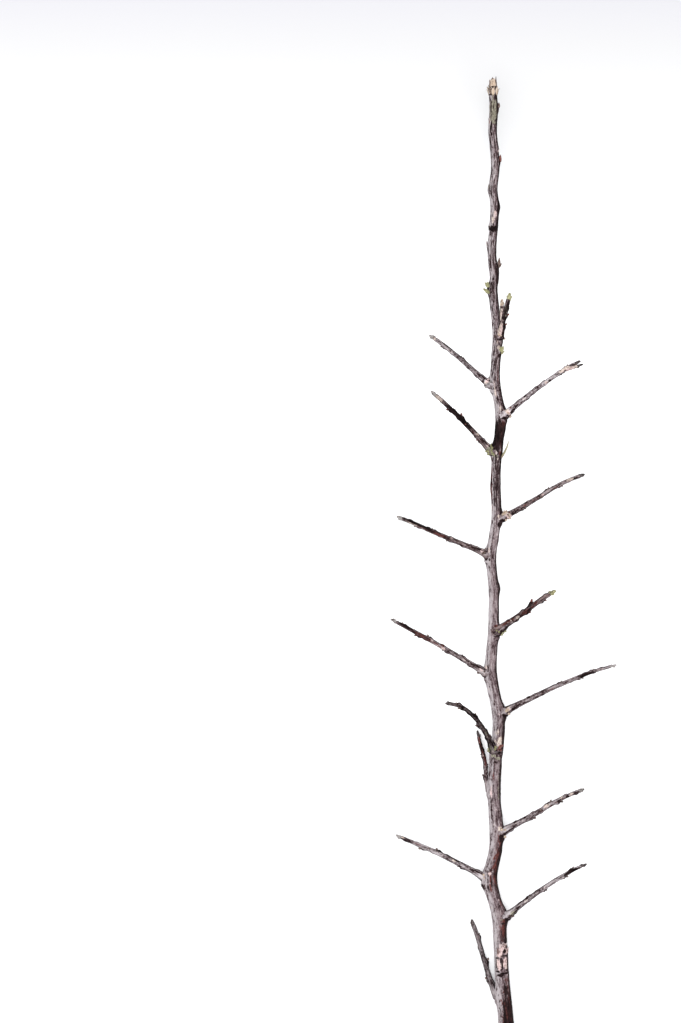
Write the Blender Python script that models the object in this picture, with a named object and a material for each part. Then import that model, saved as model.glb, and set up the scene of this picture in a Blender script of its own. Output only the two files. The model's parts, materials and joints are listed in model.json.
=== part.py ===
"""A bare woody twig with short side shoots and its winter buds, cut and laid on a level surface.

The wood of the stem and of the side shoots grew as one piece, so it is one solid.
Each bud is an organ of its own and is its own solid, seated just clear of the wood.

Frame: +Y runs from the cut end to the tip, +X to the twig's right as seen from above, +Z up.
The origin is at the middle of the twig's footprint, on the surface that it lies on.
"""

import math
from collections import namedtuple

import bpy
import numpy as np
from mathutils import Matrix

MM = 0.001

# ---------------------------------------------------------------- driving dimensions, in millimetres
# Every point is (across, along, up): along starts at the cut end, across is 0 on the frame's middle
# line, up is the height above the surface.
TWIG_LENGTH = 495.0
FRAME_MIDDLE_ALONG = TWIG_LENGTH / 2

# The stem's centre line, which turns a little at every side shoot.
STEM_ROUTE = [
    (3.0, 0.0, 4.3),
    (1.2, 24.0, 5.1),
    (-0.5, 44.0, 5.8),
    (-1.6, 64.0, 6.2),
    (-2.5, 76.0, 6.6),
    (-6.4, 94.0, 7.8),
    (-3.8, 113.0, 9.4),
    (-4.7, 138.0, 9.6),
    (-4.0, 154.0, 10.4),
    (-2.6, 174.0, 11.9),
    (-6.3, 199.0, 12.2),
    (-5.3, 219.0, 13.6),
    (-5.1, 238.0, 13.5),
    (-6.2, 256.0, 14.2),
    (-3.9, 277.0, 15.8),
    (-4.0, 298.0, 15.6),
    (-2.1, 325.0, 17.0),
    (-4.4, 345.0, 17.4),
    (-3.6, 367.0, 18.6),
    (-5.6, 388.0, 18.8),
    (-5.0, 395.0, 19.4),
    (-6.1, 408.0, 19.2),
    (-4.8, 429.0, 20.6),
    (-5.5, 439.0, 20.8),
    (-4.6, 451.0, 21.4),
    (-5.8, 468.0, 21.0),
    (-5.4, 478.0, 21.6),
    (-5.8, 490.5, 22.0),
]
# (along, radius) of the stem, before the swellings under its shoots and buds.
STEM_TAPER = [
    (0, 4.25),
    (24, 3.9),
    (50, 3.5),
    (150, 3.2),
    (200, 2.85),
    (240, 2.5),
    (350, 2.35),
    (410, 2.2),
    (491, 2.1),
]

# One side shoot. route holds (across, along) from the stem's surface to the end of its tip bud. base_up is
# its root's height over the stem's centre line there, tip_up is the height of its tip over the surface, and
# arch is how far its middle stands above a straight line between them. cushions are (fraction of the
# shoot's length, degrees round it), where 0 is up and 90 is to the right when looking towards the tip.
Shoot = namedtuple("Shoot", "name route base_up tip_up arch radius tip_radius cushions")

SHOOTS = [
    Shoot(
        "left_1",
        [(-3.5, 36.5), (-6.5, 43.5), (-10.0, 55.0), (-13.2, 66.0), (-15.9, 73.8)],
        -1.2, 2.2, 0.3, 1.6, 1.0,
        [(0.30, -90), (0.52, 90), (0.85, 80)],
    ),
    Shoot(
        "right_1",
        [(2.5, 76.5), (8.5, 81.5), (20.5, 90.6), (32.5, 98.2), (41.5, 102.5)],
        0.8, 14.0, 1.5, 1.7, 0.85,
        [(0.38, -90), (0.55, 90), (0.80, 90), (0.90, -80)],
    ),
    Shoot(
        "left_2",
        [(-10.0, 95.5), (-15.0, 98.3), (-33.0, 107.3), (-44.0, 112.0), (-54.0, 116.2)],
        -0.2, 3.4, 1.0, 1.65, 0.9,
        [(0.33, -90), (0.60, 95), (0.68, 20), (0.76, -90)],
    ),
    Shoot(
        "right_2",
        [(-0.5, 118.3), (5.0, 121.3), (17.0, 127.8), (29.0, 134.6), (40.7, 139.5)],
        0.2, 5.2, 0.8, 1.8, 0.9,
        [(0.42, 95), (0.52, -15), (0.66, -90), (0.76, 85)],
    ),
    Shoot(
        "back_left",
        [(-7.2, 140.0), (-8.6, 147.0), (-9.4, 154.5), (-11.6, 162.5), (-13.0, 168.7)],
        -1.8, 2.4, -0.5, 1.3, 0.85,
        [(0.30, -95), (0.48, 95), (0.66, -80)],
    ),
    Shoot(
        "front_left",
        [(-5.6, 160.0), (-8.4, 166.5), (-14.0, 175.0), (-20.4, 180.8), (-26.0, 182.8), (-29.8, 182.5)],
        2.9, 31.0, 3.5, 1.5, 0.95,
        [(0.28, 70), (0.50, -95), (0.64, 85), (0.86, -90), (0.92, 60)],
    ),
    Shoot(
        "right_3",
        [(1.2, 178.8), (6.0, 181.4), (24.0, 190.0), (42.0, 197.4), (56.7, 201.8)],
        0.3, 8.6, 1.0, 1.7, 0.75,
        [(0.34, -60), (0.56, -95), (0.73, 85), (0.84, -80)],
    ),
    Shoot(
        "left_3",
        [(-10.0, 198.6), (-15.0, 201.4), (-33.0, 212.0), (-45.0, 218.6), (-56.7, 224.8)],
        0.2, 12.5, 1.2, 1.6, 0.85,
        [(0.30, 95), (0.48, -90), (0.66, 90), (0.76, -95), (0.92, 80)],
    ),
    Shoot(
        "right_4",
        [(-2.6, 219.3), (1.5, 222.4), (10.5, 228.8), (19.5, 235.6), (25.5, 239.2)],
        1.9, 25.0, 1.2, 1.8, 1.2,
        [(0.35, 0), (0.58, 85), (0.70, -90), (0.86, 90)],
    ),
    Shoot(
        "left_4",
        [(-9.0, 257.4), (-15.0, 260.0), (-33.0, 267.3), (-44.0, 272.3), (-53.5, 276.1)],
        -0.3, 0.95, 1.2, 1.5, 0.95,
        [(0.22, 85), (0.46, -85), (0.64, 95), (0.82, -90)],
    ),
    Shoot(
        "right_5",
        [(0.2, 276.0), (5.0, 278.4), (17.0, 285.3), (29.0, 292.4), (41.0, 297.3)],
        -0.4, 0.85, 1.0, 1.5, 0.9,
        [(0.30, 95), (0.50, 20), (0.62, -90), (0.76, 90)],
    ),
    Shoot(
        "left_5",
        [(-7.0, 309.5), (-13.5, 316.2), (-25.5, 328.4), (-36.7, 338.5)],
        0.4, 24.5, 1.0, 1.6, 1.0,
        [(0.26, -80), (0.50, -10), (0.60, 95), (0.76, -95)],
    ),
    Shoot(
        "right_6",
        [(1.0, 327.3), (5.5, 331.0), (17.5, 340.6), (29.5, 349.0), (38.0, 353.6)],
        0.5, 21.0, 0.8, 1.55, 0.95,
        [(0.42, 20), (0.60, -90), (0.82, 95), (0.90, -70)],
    ),
    Shoot(
        "left_6",
        [(-7.4, 342.6), (-10.5, 344.6), (-19.5, 352.8), (-28.5, 360.4), (-37.3, 366.8)],
        -0.4, 10.5, 0.8, 1.5, 1.0,
        [(0.28, -90), (0.56, 95), (0.72, -10), (0.84, -95)],
    ),
    Shoot(
        "right_7",
        [(-2.2, 366.5), (-1.0, 372.5), (0.6, 379.0), (2.6, 387.2)],
        1.4, 25.5, 0.3, 1.5, 1.1,
        [(0.35, 90), (0.60, 95)],
    ),
]

# A short prong that forks off a shoot: fraction is how far along its parent it starts, and route and tip_up
# are as for a shoot.
Prong = namedtuple("Prong", "name parent fraction route tip_up radius tip_radius")

PRONGS = [
    Prong("right_6_prong", "right_6", 0.84, [(37.2, 351.2), (39.0, 351.9)], 22.6, 0.95, 0.75),
    Prong("right_7_prong", "right_7", 0.42, [(-1.3, 379.8), (-1.1, 384.2)], 24.0, 1.3, 1.0),
]

# Swellings of the stem: (along, degrees round it, height, reach along the stem).
STEM_CUSHIONS = [
    (16.0, 80, 0.5, 4.0),
    (57.0, 35, 0.6, 3.5),
    (91.0, -70, 0.8, 4.0),
    (126.0, 70, 0.4, 4.0),
    (161.0, 30, 0.7, 4.0),
    (190.0, -60, 0.5, 4.0),
    (240.0, 80, 0.9, 3.0),
    (265.0, 60, 0.5, 4.0),
    (290.0, -80, 0.5, 4.0),
    (308.0, 20, 0.6, 3.5),
    (320.0, 75, 0.6, 4.0),
    (357.5, 40, 0.6, 3.0),
    (389.0, -75, 0.9, 3.0),
    (399.0, 85, 0.6, 3.0),
    (411.0, -90, 0.5, 2.5),
    (420.5, -80, 0.5, 2.0),
    (430.0, 80, 0.6, 2.5),
    (439.0, -85, 0.7, 2.5),
    (452.5, 70, 0.6, 2.0),
    (459.5, 60, 0.3, 2.0),
    (479.0, 75, 0.6, 2.0),
]

# One bud on the stem: lean is in degrees out from the stem's direction.
StemBud = namedtuple("StemBud", "name along around length width lean")

STEM_BUDS = [
    StemBud("stem_bud_1", 160.6, 15, 3.2, 1.9, 35),
    StemBud("stem_bud_2", 306.8, -48, 3.0, 1.9, 30),
    StemBud("stem_bud_3", 358.8, 50, 4.2, 2.3, 25),
    StemBud("stem_bud_4", 389.6, -82, 3.4, 2.2, 45),
    StemBud("stem_bud_5", 392.6, -70, 3.0, 1.7, 20),
    StemBud("stem_bud_6", 400.4, 88, 4.4, 1.7, 8),
    StemBud("stem_bud_7", 452.6, 78, 3.8, 1.6, 5),
    StemBud("stem_bud_8", 479.6, 82, 3.0, 1.6, 6),
]

# A dry needle-like awn on the stem.
AWN = StemBud("awn", 305.6, 68, 9.0, 1.1, 20)

# The broken scales at the very tip: across is the distance of the seat from the stem's centre line.
ApexScale = namedtuple("ApexScale", "name across around length width lean")

APEX_SCALES = [
    ApexScale("apex_bud", 0.0, 0, 4.2, 2.3, 0),
    ApexScale("apex_scale_left", 2.15, -100, 3.7, 1.4, 14),
    ApexScale("apex_scale_right", 2.15, 75, 4.0, 1.4, 10),
]

TIP_BUD_LENGTH = 2.4
TIP_BUD_WIDTH = 1.2  # as a share of the diameter of the tip that it sits on
SEAT_GAP = 0.3
TIP_BULGE = 0.5
TIP_BUD_REACH = TIP_BUD_LENGTH + SEAT_GAP + TIP_BULGE
COLLAR_RISE = 0.32  # how much wider a shoot is where it leaves the stem, as a share of its radius
COLLAR_REACH = 4.5
CUSHION_RISE = 0.45
CUSHION_REACH = 1.9
CUSHION_SPREAD = 40.0  # degrees
ROOT_SINK = 1.5

STEM_RINGS = 92
STEM_SIDES = 12
SHOOT_RINGS = 17
SHOOT_SIDES = 8
PRONG_RINGS = 6
BUD_RINGS = 7
BUD_SIDES = 8

BARK = ("bark", (0.245, 0.195, 0.185), 0.78)
BUD = ("bud", (0.46, 0.40, 0.24), 0.6)


def clear_scene():
    """Removes every object that the scene starts with."""
    for obj in list(bpy.data.objects):
        bpy.data.objects.remove(obj, do_unlink=True)


def make_material(name, colour, roughness):
    """A plain Principled material."""
    material = bpy.data.materials.new(name)
    material.use_nodes = True
    shader = material.node_tree.nodes["Principled BSDF"]
    shader.inputs["Base Color"].default_value = (*colour, 1.0)
    shader.inputs["Roughness"].default_value = roughness
    shader.inputs["Metallic"].default_value = 0.0
    material.diffuse_color = (*colour, 1.0)
    return material


def smooth_route(points, count, spare=0.0):
    """count points, evenly spaced in length, on the Catmull-Rom curve through the given points. They stop
    short of the curve's end by the spare length."""
    points = np.asarray(points, float)
    padded = np.vstack([2 * points[0] - points[1], points, 2 * points[-1] - points[-2]])
    steps = np.linspace(0, 1, 16, endpoint=False)[:, None]
    dense = []
    for before, start, end, after in zip(padded, padded[1:], padded[2:], padded[3:]):
        dense.append(
            0.5
            * (
                2 * start
                + (end - before) * steps
                + (2 * before - 5 * start + 4 * end - after) * steps**2
                + (3 * start - before - 3 * end + after) * steps**3
            )
        )
    dense = np.vstack([*dense, points[-1:]])
    length = np.concatenate([[0], np.cumsum(np.linalg.norm(np.diff(dense, axis=0), axis=1))])
    wanted = np.linspace(0, length[-1] - spare, count)
    return np.column_stack([np.interp(wanted, length, dense[:, axis]) for axis in range(3)])


def lengths_along(route):
    """Each point's distance along the route from its start."""
    return np.concatenate([[0], np.cumsum(np.linalg.norm(np.diff(route, axis=0), axis=1))])


def frames_along(route):
    """Each point's direction, its up side, and its right side as seen when looking towards the tip."""
    forward = np.gradient(route, axis=0)
    forward /= np.linalg.norm(forward, axis=1)[:, None]
    up = np.array([0.0, 0.0, 1.0]) - forward * forward[:, 2:3]
    up /= np.linalg.norm(up, axis=1)[:, None]
    return forward, up, np.cross(forward, up)


def angle_between(first, second):
    """The unsigned angle between two headings, in degrees."""
    return np.abs((first - second + 180) % 360 - 180)


def closed_tube(name, route, radii, start_bulge=0.0, end_bulge=0.0):
    """A solid swept along the route. radii holds a row of radii for each point, a column for each side. Each
    end is closed by a fan, with its middle pushed out by the bulge."""
    rings, sides = radii.shape
    forward, up, right = frames_along(route)
    turn = np.radians(np.arange(sides) * 360 / sides)
    outward = up[:, None, :] * np.cos(turn)[None, :, None] + right[:, None, :] * np.sin(turn)[None, :, None]
    skin = (route[:, None, :] + outward * radii[:, :, None]).reshape(-1, 3)
    start = route[0] - forward[0] * start_bulge
    end = route[-1] + forward[-1] * end_bulge
    points = np.vstack([skin, start, end]) * MM
    faces = []
    for ring in range(rings - 1):
        for side in range(sides):
            following = (side + 1) % sides
            low, high = ring * sides, (ring + 1) * sides
            faces.append((low + side, low + following, high + following, high + side))
    for side in range(sides):
        following = (side + 1) % sides
        last = (rings - 1) * sides
        faces.append((rings * sides, following, side))
        faces.append((rings * sides + 1, last + side, last + following))
    mesh = bpy.data.meshes.new(name)
    mesh.from_pydata(points.tolist(), [], faces)
    mesh.polygons.foreach_set("use_smooth", [True] * len(mesh.polygons))
    mesh.update()
    obj = bpy.data.objects.new(name, mesh)
    bpy.context.scene.collection.objects.link(obj)
    return obj


def side_angles(sides):
    """The heading of each side of a tube, in degrees from up, growing to the right."""
    return np.arange(sides) * 360 / sides


def stem_route():
    """The stem's centre line in the row's frame."""
    points = np.array(STEM_ROUTE)
    points[:, 1] -= FRAME_MIDDLE_ALONG
    return smooth_route(points, STEM_RINGS)


def stem_centre(along):
    """The point on the stem's centre line at a distance along the twig."""
    route = stem_route()
    across = np.interp(along - FRAME_MIDDLE_ALONG, route[:, 1], route[:, 0])
    up = np.interp(along - FRAME_MIDDLE_ALONG, route[:, 1], route[:, 2])
    return np.array([across, along - FRAME_MIDDLE_ALONG, up])


def stem_radii(route, sides):
    """The stem's radius at each ring and side: its taper, with a swelling under each shoot and each bud."""
    along = route[:, 1:2] + FRAME_MIDDLE_ALONG
    heading = side_angles(sides)[None, :]
    radii = np.repeat(np.interp(along, *zip(*STEM_TAPER)), sides, axis=1)
    for shoot in SHOOTS:
        (across, base), *_ = shoot.route
        towards = math.degrees(math.atan2(across - stem_centre(base)[0], shoot.base_up))
        reach = np.exp(-(((along - base + 1.0) / 4.2) ** 2))
        radii = radii + 0.8 * reach * np.exp(-((angle_between(heading, towards) / 65) ** 2))
    for place, towards, height, reach in STEM_CUSHIONS:
        spread = np.exp(-((angle_between(heading, towards) / CUSHION_SPREAD) ** 2))
        radii = radii + height * np.exp(-(((along - place) / reach) ** 2)) * spread
    return radii


def make_stem():
    """The stem alone, from its cut end to its tip."""
    route = stem_route()
    radii = stem_radii(route, STEM_SIDES)
    radii[-1] *= 0.72
    radii[0] *= 0.96
    return closed_tube("stem_and_shoots", route, radii, end_bulge=TIP_BULGE)


def shoot_route(shoot):
    """A shoot's centre line, from inside the stem to its tip."""
    plan = np.array(shoot.route, float)
    plan[:, 1] -= FRAME_MIDDLE_ALONG
    gone = np.concatenate([[0], np.cumsum(np.linalg.norm(np.diff(plan, axis=0), axis=1))])
    share = gone / gone[-1]
    base = stem_centre(shoot.route[0][1])
    base_up = base[2] + shoot.base_up
    up = base_up + (shoot.tip_up - base_up) * share + shoot.arch * np.sin(np.pi * share)
    root = stem_centre(shoot.route[0][1] - ROOT_SINK) + np.array([0, 0, 0.4 * shoot.base_up])
    return smooth_route(np.vstack([root, np.column_stack([plan, up])]), SHOOT_RINGS, TIP_BUD_REACH)


def shoot_radii(shoot, route):
    """A shoot's radius at each ring and side: its taper, its collar and the cushions that its leaves left."""
    length = lengths_along(route)[:, None]
    heading = side_angles(SHOOT_SIDES)[None, :]
    share = length / length[-1]
    taper = shoot.radius + (shoot.tip_radius - shoot.radius) * share**0.9
    radii = taper * (1 + COLLAR_RISE * np.exp(-(((length - 3.0) / COLLAR_REACH) ** 2)))
    radii = np.repeat(radii, SHOOT_SIDES, axis=1)
    for place, towards in shoot.cushions:
        reach = np.exp(-(((length - place * length[-1]) / CUSHION_REACH) ** 2))
        spread = np.exp(-((angle_between(heading, towards) / CUSHION_SPREAD) ** 2))
        radii = radii + CUSHION_RISE * reach * spread
    radii[0] *= 0.75
    radii[-1] *= 0.85
    return radii


def prong_route(prong, parents):
    """A prong's centre line, from inside its parent shoot to its tip."""
    parent = parents[prong.parent]
    root = parent[int(round(prong.fraction * (len(parent) - 1)))]
    plan = np.array(prong.route, float)
    plan[:, 1] -= FRAME_MIDDLE_ALONG
    share = np.linspace(0, 1, len(plan) + 1)[1:]
    up = root[2] + (prong.tip_up - root[2]) * share
    return smooth_route(np.vstack([root, np.column_stack([plan, up])]), PRONG_RINGS, TIP_BUD_REACH)


def prong_radii(prong):
    """A prong's radius at each ring, narrowing evenly."""
    taper = np.linspace(prong.radius, prong.tip_radius, PRONG_RINGS)
    taper[0] *= 0.8
    return np.repeat(taper[:, None], SHOOT_SIDES, axis=1)


def join(first, others):
    """Makes one solid of them all, under the first one's name."""
    for other in others:
        union = first.modifiers.new("join", "BOOLEAN")
        union.operation = "UNION"
        union.solver = "EXACT"
        union.object = other
    bpy.context.view_layer.update()
    graph = bpy.context.evaluated_depsgraph_get()
    whole = bpy.data.meshes.new_from_object(first.evaluated_get(graph))
    first.modifiers.clear()
    first.data = whole
    for other in others:
        bpy.data.objects.remove(other, do_unlink=True)
    return first


def make_bud(name, seat, heading, length, width, point=1.0, fullness=0.75):
    """An ovoid bud that starts at its seat and points along the heading.

    More point gives a sharper tip, and a smaller fullness gives blunter ends.
    """
    heading = np.asarray(heading, float) / np.linalg.norm(heading)
    share = np.linspace(0.04, 0.985, BUD_RINGS)
    route = np.asarray(seat) + heading * (share * length)[:, None]
    outline = np.sin(np.pi * share**0.8) ** fullness * (1 - 0.25 * point * share)
    radii = np.repeat((outline / outline.max() * width / 2)[:, None], BUD_SIDES, axis=1)
    return closed_tube(name, route, radii, start_bulge=0.04 * length, end_bulge=0.015 * length)


def make_tip_bud(name, route, tip_radius):
    """The bud that ends a shoot or a prong, just clear of the wood's end."""
    heading = route[-1] - route[-3]
    heading /= np.linalg.norm(heading)
    seat = route[-1] + heading * (SEAT_GAP + TIP_BULGE)
    width = 2 * tip_radius * TIP_BUD_WIDTH
    return make_bud(name, seat, heading, TIP_BUD_LENGTH, width, point=0.3, fullness=0.45)


def make_stem_bud(bud):
    """A bud on the stem's side, leaning out from it and just clear of it."""
    route = stem_route()
    radii = stem_radii(route, 72)
    forward, up, right = frames_along(route)
    ring = int(np.argmin(np.abs(route[:, 1] + FRAME_MIDDLE_ALONG - bud.along)))
    turn = math.radians(bud.around)
    outward = up[ring] * math.cos(turn) + right[ring] * math.sin(turn)
    side = int(round((bud.around % 360) / 5)) % 72
    lean = math.radians(bud.lean)
    heading = forward[ring] * math.cos(lean) + outward * math.sin(lean)
    height = radii[ring - 1 : ring + 2, side].max() + SEAT_GAP + bud.width / 2 * math.cos(lean)
    seat = stem_centre(bud.along) + outward * height
    return make_bud(bud.name, seat, heading, bud.length, bud.width, point=1.6)


def make_apex_scale(scale):
    """A scale of the broken bud at the twig's very tip."""
    route = stem_route()
    forward, up, right = frames_along(route)
    turn = math.radians(scale.around)
    outward = up[-1] * math.cos(turn) + right[-1] * math.sin(turn)
    lean = math.radians(scale.lean)
    heading = forward[-1] * math.cos(lean) + outward * math.sin(lean)
    seat = route[-1] + forward[-1] * (SEAT_GAP + TIP_BULGE) + outward * scale.across
    return make_bud(scale.name, seat, heading, scale.length, scale.width)


def settle(nodes):
    """Lowers or lifts all the nodes together, so that the lowest point of all rests on the surface."""
    lowest = min(vertex.co.z for node in nodes for vertex in node.data.vertices)
    for node in nodes:
        node.data.transform(Matrix.Translation((0, 0, -lowest)))


def give_material(obj, material):
    """Gives a node its material."""
    obj.data.materials.clear()
    obj.data.materials.append(material)


def main():
    """Builds the twig."""
    clear_scene()
    bark = make_material(*BARK)
    bud = make_material(*BUD)

    routes = {shoot.name: shoot_route(shoot) for shoot in SHOOTS}
    branches = []
    buds = []
    for shoot in SHOOTS:
        route = routes[shoot.name]
        branches.append(closed_tube(shoot.name, route, shoot_radii(shoot, route), end_bulge=TIP_BULGE))
        buds.append(make_tip_bud(shoot.name + "_tip_bud", route, shoot.tip_radius))
    for prong in PRONGS:
        route = prong_route(prong, routes)
        branches.append(closed_tube(prong.name, route, prong_radii(prong), end_bulge=TIP_BULGE))
        buds.append(make_tip_bud(prong.name + "_tip_bud", route, prong.tip_radius))
    wood = join(make_stem(), branches)

    buds += [make_stem_bud(stem_bud) for stem_bud in [*STEM_BUDS, AWN]]
    buds += [make_apex_scale(scale) for scale in APEX_SCALES]
    give_material(wood, bark)
    for obj in buds:
        give_material(obj, bud)
    settle([wood, *buds])


if __name__ == "__main__":
    main()
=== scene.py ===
"""A bare woody twig in winter, cut and laid on a pale surface.

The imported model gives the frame. Every visible surface is built in numpy in the same frame: the stem and
each side shoot are swept surfaces with their own relief and stains, the buds are shingled ovoids, and the
bark, bud scales, awn and cut wood have procedural materials.

Frame: +Y runs from the cut end to the tip, +X to the twig's right as seen from above, +Z up, in metres.
Design sizes are in millimetres, as (across, along, up), with along measured from the cut end.
"""

import json
import logging
import math
from dataclasses import dataclass, field
from enum import Enum
from typing import Iterable, Sequence

import bpy
import numpy as np
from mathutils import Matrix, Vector

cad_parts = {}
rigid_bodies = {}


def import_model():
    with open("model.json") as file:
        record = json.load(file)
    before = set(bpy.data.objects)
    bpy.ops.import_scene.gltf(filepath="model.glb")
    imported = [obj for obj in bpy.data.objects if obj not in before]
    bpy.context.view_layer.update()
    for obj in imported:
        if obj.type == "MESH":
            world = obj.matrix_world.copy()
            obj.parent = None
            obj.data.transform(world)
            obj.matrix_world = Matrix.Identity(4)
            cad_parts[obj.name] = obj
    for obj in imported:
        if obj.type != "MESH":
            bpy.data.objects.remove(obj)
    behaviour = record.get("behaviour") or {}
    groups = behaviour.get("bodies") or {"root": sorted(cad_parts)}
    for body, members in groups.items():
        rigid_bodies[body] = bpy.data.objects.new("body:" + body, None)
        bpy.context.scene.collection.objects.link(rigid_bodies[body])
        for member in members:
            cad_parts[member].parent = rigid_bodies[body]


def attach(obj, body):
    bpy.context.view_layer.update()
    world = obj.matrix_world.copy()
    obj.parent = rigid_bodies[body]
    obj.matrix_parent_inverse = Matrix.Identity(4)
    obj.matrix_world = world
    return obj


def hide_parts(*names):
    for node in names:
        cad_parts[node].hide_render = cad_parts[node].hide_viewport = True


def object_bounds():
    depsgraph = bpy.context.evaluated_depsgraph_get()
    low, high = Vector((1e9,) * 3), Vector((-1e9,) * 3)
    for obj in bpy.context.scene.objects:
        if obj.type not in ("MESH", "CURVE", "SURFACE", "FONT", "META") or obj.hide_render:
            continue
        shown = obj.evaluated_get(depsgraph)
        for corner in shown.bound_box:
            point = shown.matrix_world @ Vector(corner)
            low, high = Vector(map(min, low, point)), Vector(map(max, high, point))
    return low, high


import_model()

SIZE_AT_LOAD = [list(corner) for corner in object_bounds()]
BOX_LOW, BOX_HIGH = np.array(SIZE_AT_LOAD)

logging.basicConfig(level=logging.INFO, format="%(name)s: %(message)s")
log = logging.getLogger("twig")

Array = np.ndarray
Colour = tuple[float, float, float]

MM = 0.001
TWIG_LENGTH = 495.0
REST_DROP = 0.222  # how far the whole twig sinks below its design heights to touch the surface, in mm
FRAME_ORIGIN = np.array([0.0, TWIG_LENGTH / 2, REST_DROP])  # where the frame's origin is in the design, in mm
WOOD_NODE = "stem_and_shoots"
GOLDEN_TURN = 137.5  # degrees between one leaf or scale and the next
SKYWARD = np.array([0.0, 0.0, 1.0])
SEAT_GAP = 0.3  # between the wood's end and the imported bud, in mm
TIP_BULGE = 0.5  # how far the middle of a cut or broken end stands out, in mm
TIP_BUD_REACH = 2.4 + SEAT_GAP + TIP_BULGE  # from the wood's end to the end of a tip bud 2.4 mm long
ROOT_SINK = 1.5  # how far a shoot's root starts below its foot, inside the stem, in mm
SCAR_HEIGHT = 0.42  # how far a leaf scar of the usual size stands out, in mm
SCAR_SPREAD = 42  # how far round the wood a leaf scar reaches, in degrees
SCALE_SPREAD = 75  # how far round a bud a scale's edge falls by SCALE_FALL of its length, in degrees
SCALE_FALL = 0.34

# The first seed of each kind of piece.
STEM_SEED, SHOOT_SEED, PRONG_SEED, AWN_SEED, FLAKE_SEED, PLATE_SEED = 11, 31, 301, 77, 60, 40
TIP_BUD_SEED, PRONG_TIP_SEED, SIDE_BUD_SEED, STEM_BUD_SEED = 500, 600, 700, 800
APEX_SEED, BEAD_SEED = 900, 1100


# ---- design
class Stain(Enum):
    """The kinds of patch on the bark, each the index of its channel in the marks attribute. DARK also carries
    painted shade.
    """

    RED = 0
    PALE = 1
    DARK = 2
    OLIVE = 3


@dataclass(frozen=True)
class Mark:
    """One patch of bark that differs from the bark around it; some dark ones are painted shade.

    Attributes:
        along: distance of its middle from the piece's foot, in mm.
        around: its heading round the piece in degrees, where 0 is up and 90 is to the right looking tipwards.
        length: its size along the piece, in mm.
        width: its size round the piece, in mm.
        stain: what kind of patch it is.
        strength: how strongly it shows, from 0 to 1.
        rise: how far it stands out of the bark in mm, negative for a groove.
    """

    along: float
    around: float
    length: float
    width: float
    stain: Stain
    strength: float = 1.0
    rise: float = 0.0


@dataclass(frozen=True)
class Cushion:
    """The swelling under a leaf scar, with the small bud that sits on it.

    Attributes:
        share: where it is, as a share of the shoot's length.
        around: its heading round the shoot in degrees.
        size: how big it is against the usual one.
    """

    share: float
    around: float
    size: float = 1.0


class Palette(Enum):
    """The colours that bud scales and papery bark come in, each with its material's name."""

    GREEN = "green bud scales"
    CREAM = "cream bud scales"
    GREY = "grey bud scales"
    RED = "red bud scales"
    BROWN = "brown bud scales"
    DARK = "dark bud scales"
    PAPER = "papery bark"


@dataclass(frozen=True)
class ShootDesign:
    """One side shoot.

    Attributes:
        name: its name.
        route: (across, along) from the stem's surface to the end of its tip bud.
        base_up: its root's height over the stem's centre line.
        tip_up: its tip's height over the surface.
        arch: how far its middle stands above a straight line.
        radius: its radius near the foot.
        tip_radius: its radius at the tip.
        cushions: its leaf cushions.
        palette: the colour of its tip bud.
        marks: its own stains and lines of painted shade along its edges, measured from its foot on the stem's
            surface.
        warmth: how red-brown its bark is, from 0 to 1.
        lightness: how pale its bark is against the stem's.
        beads: how many bead-like dormant buds sit round its foot.
        bead_palette: their colour.
        knobbly: how many and how high its knobs are against the usual.
    """

    name: str
    route: tuple[tuple[float, float], ...]
    base_up: float
    tip_up: float
    arch: float
    radius: float
    tip_radius: float
    cushions: tuple[Cushion, ...]
    palette: Palette = Palette.GREY
    marks: tuple[Mark, ...] = ()
    warmth: float = 0.3
    lightness: float = 1.0
    beads: int = 3
    bead_palette: Palette = Palette.BROWN
    knobbly: float = 1.0


@dataclass(frozen=True)
class ProngDesign:
    """A short prong that forks off a shoot.

    Attributes:
        name: its name.
        parent: the shoot that it forks off.
        fraction: how far along its parent it starts.
        route: (across, along) of its middle and its end.
        tip_up: its tip's height over the surface.
        radius: its radius at the fork.
        tip_radius: its radius at the tip.
        palette: the colour of its tip bud.
    """

    name: str
    parent: str
    fraction: float
    route: tuple[tuple[float, float], ...]
    tip_up: float
    radius: float
    tip_radius: float
    palette: Palette = Palette.GREEN


@dataclass(frozen=True)
class StemBudDesign:
    """A group of buds on the stem.

    Attributes:
        node: the frame's node that it stands for.
        along: how far it is from the cut end.
        around: its heading round the stem in degrees.
        length: the main bud's length.
        width: the main bud's width.
        lean: how far it leans out from the stem, in degrees.
        palette: its colour.
        extras: how many smaller buds crowd round the main one.
        lift: how far its seat stands off the bark, as a share of its width.
    """

    node: str
    along: float
    around: float
    length: float
    width: float
    lean: float
    palette: Palette
    extras: int = 0
    lift: float = 0.15


R, P, D, O = Stain.RED, Stain.PALE, Stain.DARK, Stain.OLIVE


def mark_rows(*rows: tuple) -> tuple[Mark, ...]:
    """Marks from rows of their values, in the order of Mark's attributes."""
    return tuple(Mark(*row) for row in rows)


def cushion_rows(*rows: tuple) -> tuple[Cushion, ...]:
    """Cushions from rows of their values, in the order of Cushion's attributes."""
    return tuple(Cushion(*row) for row in rows)


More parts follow.
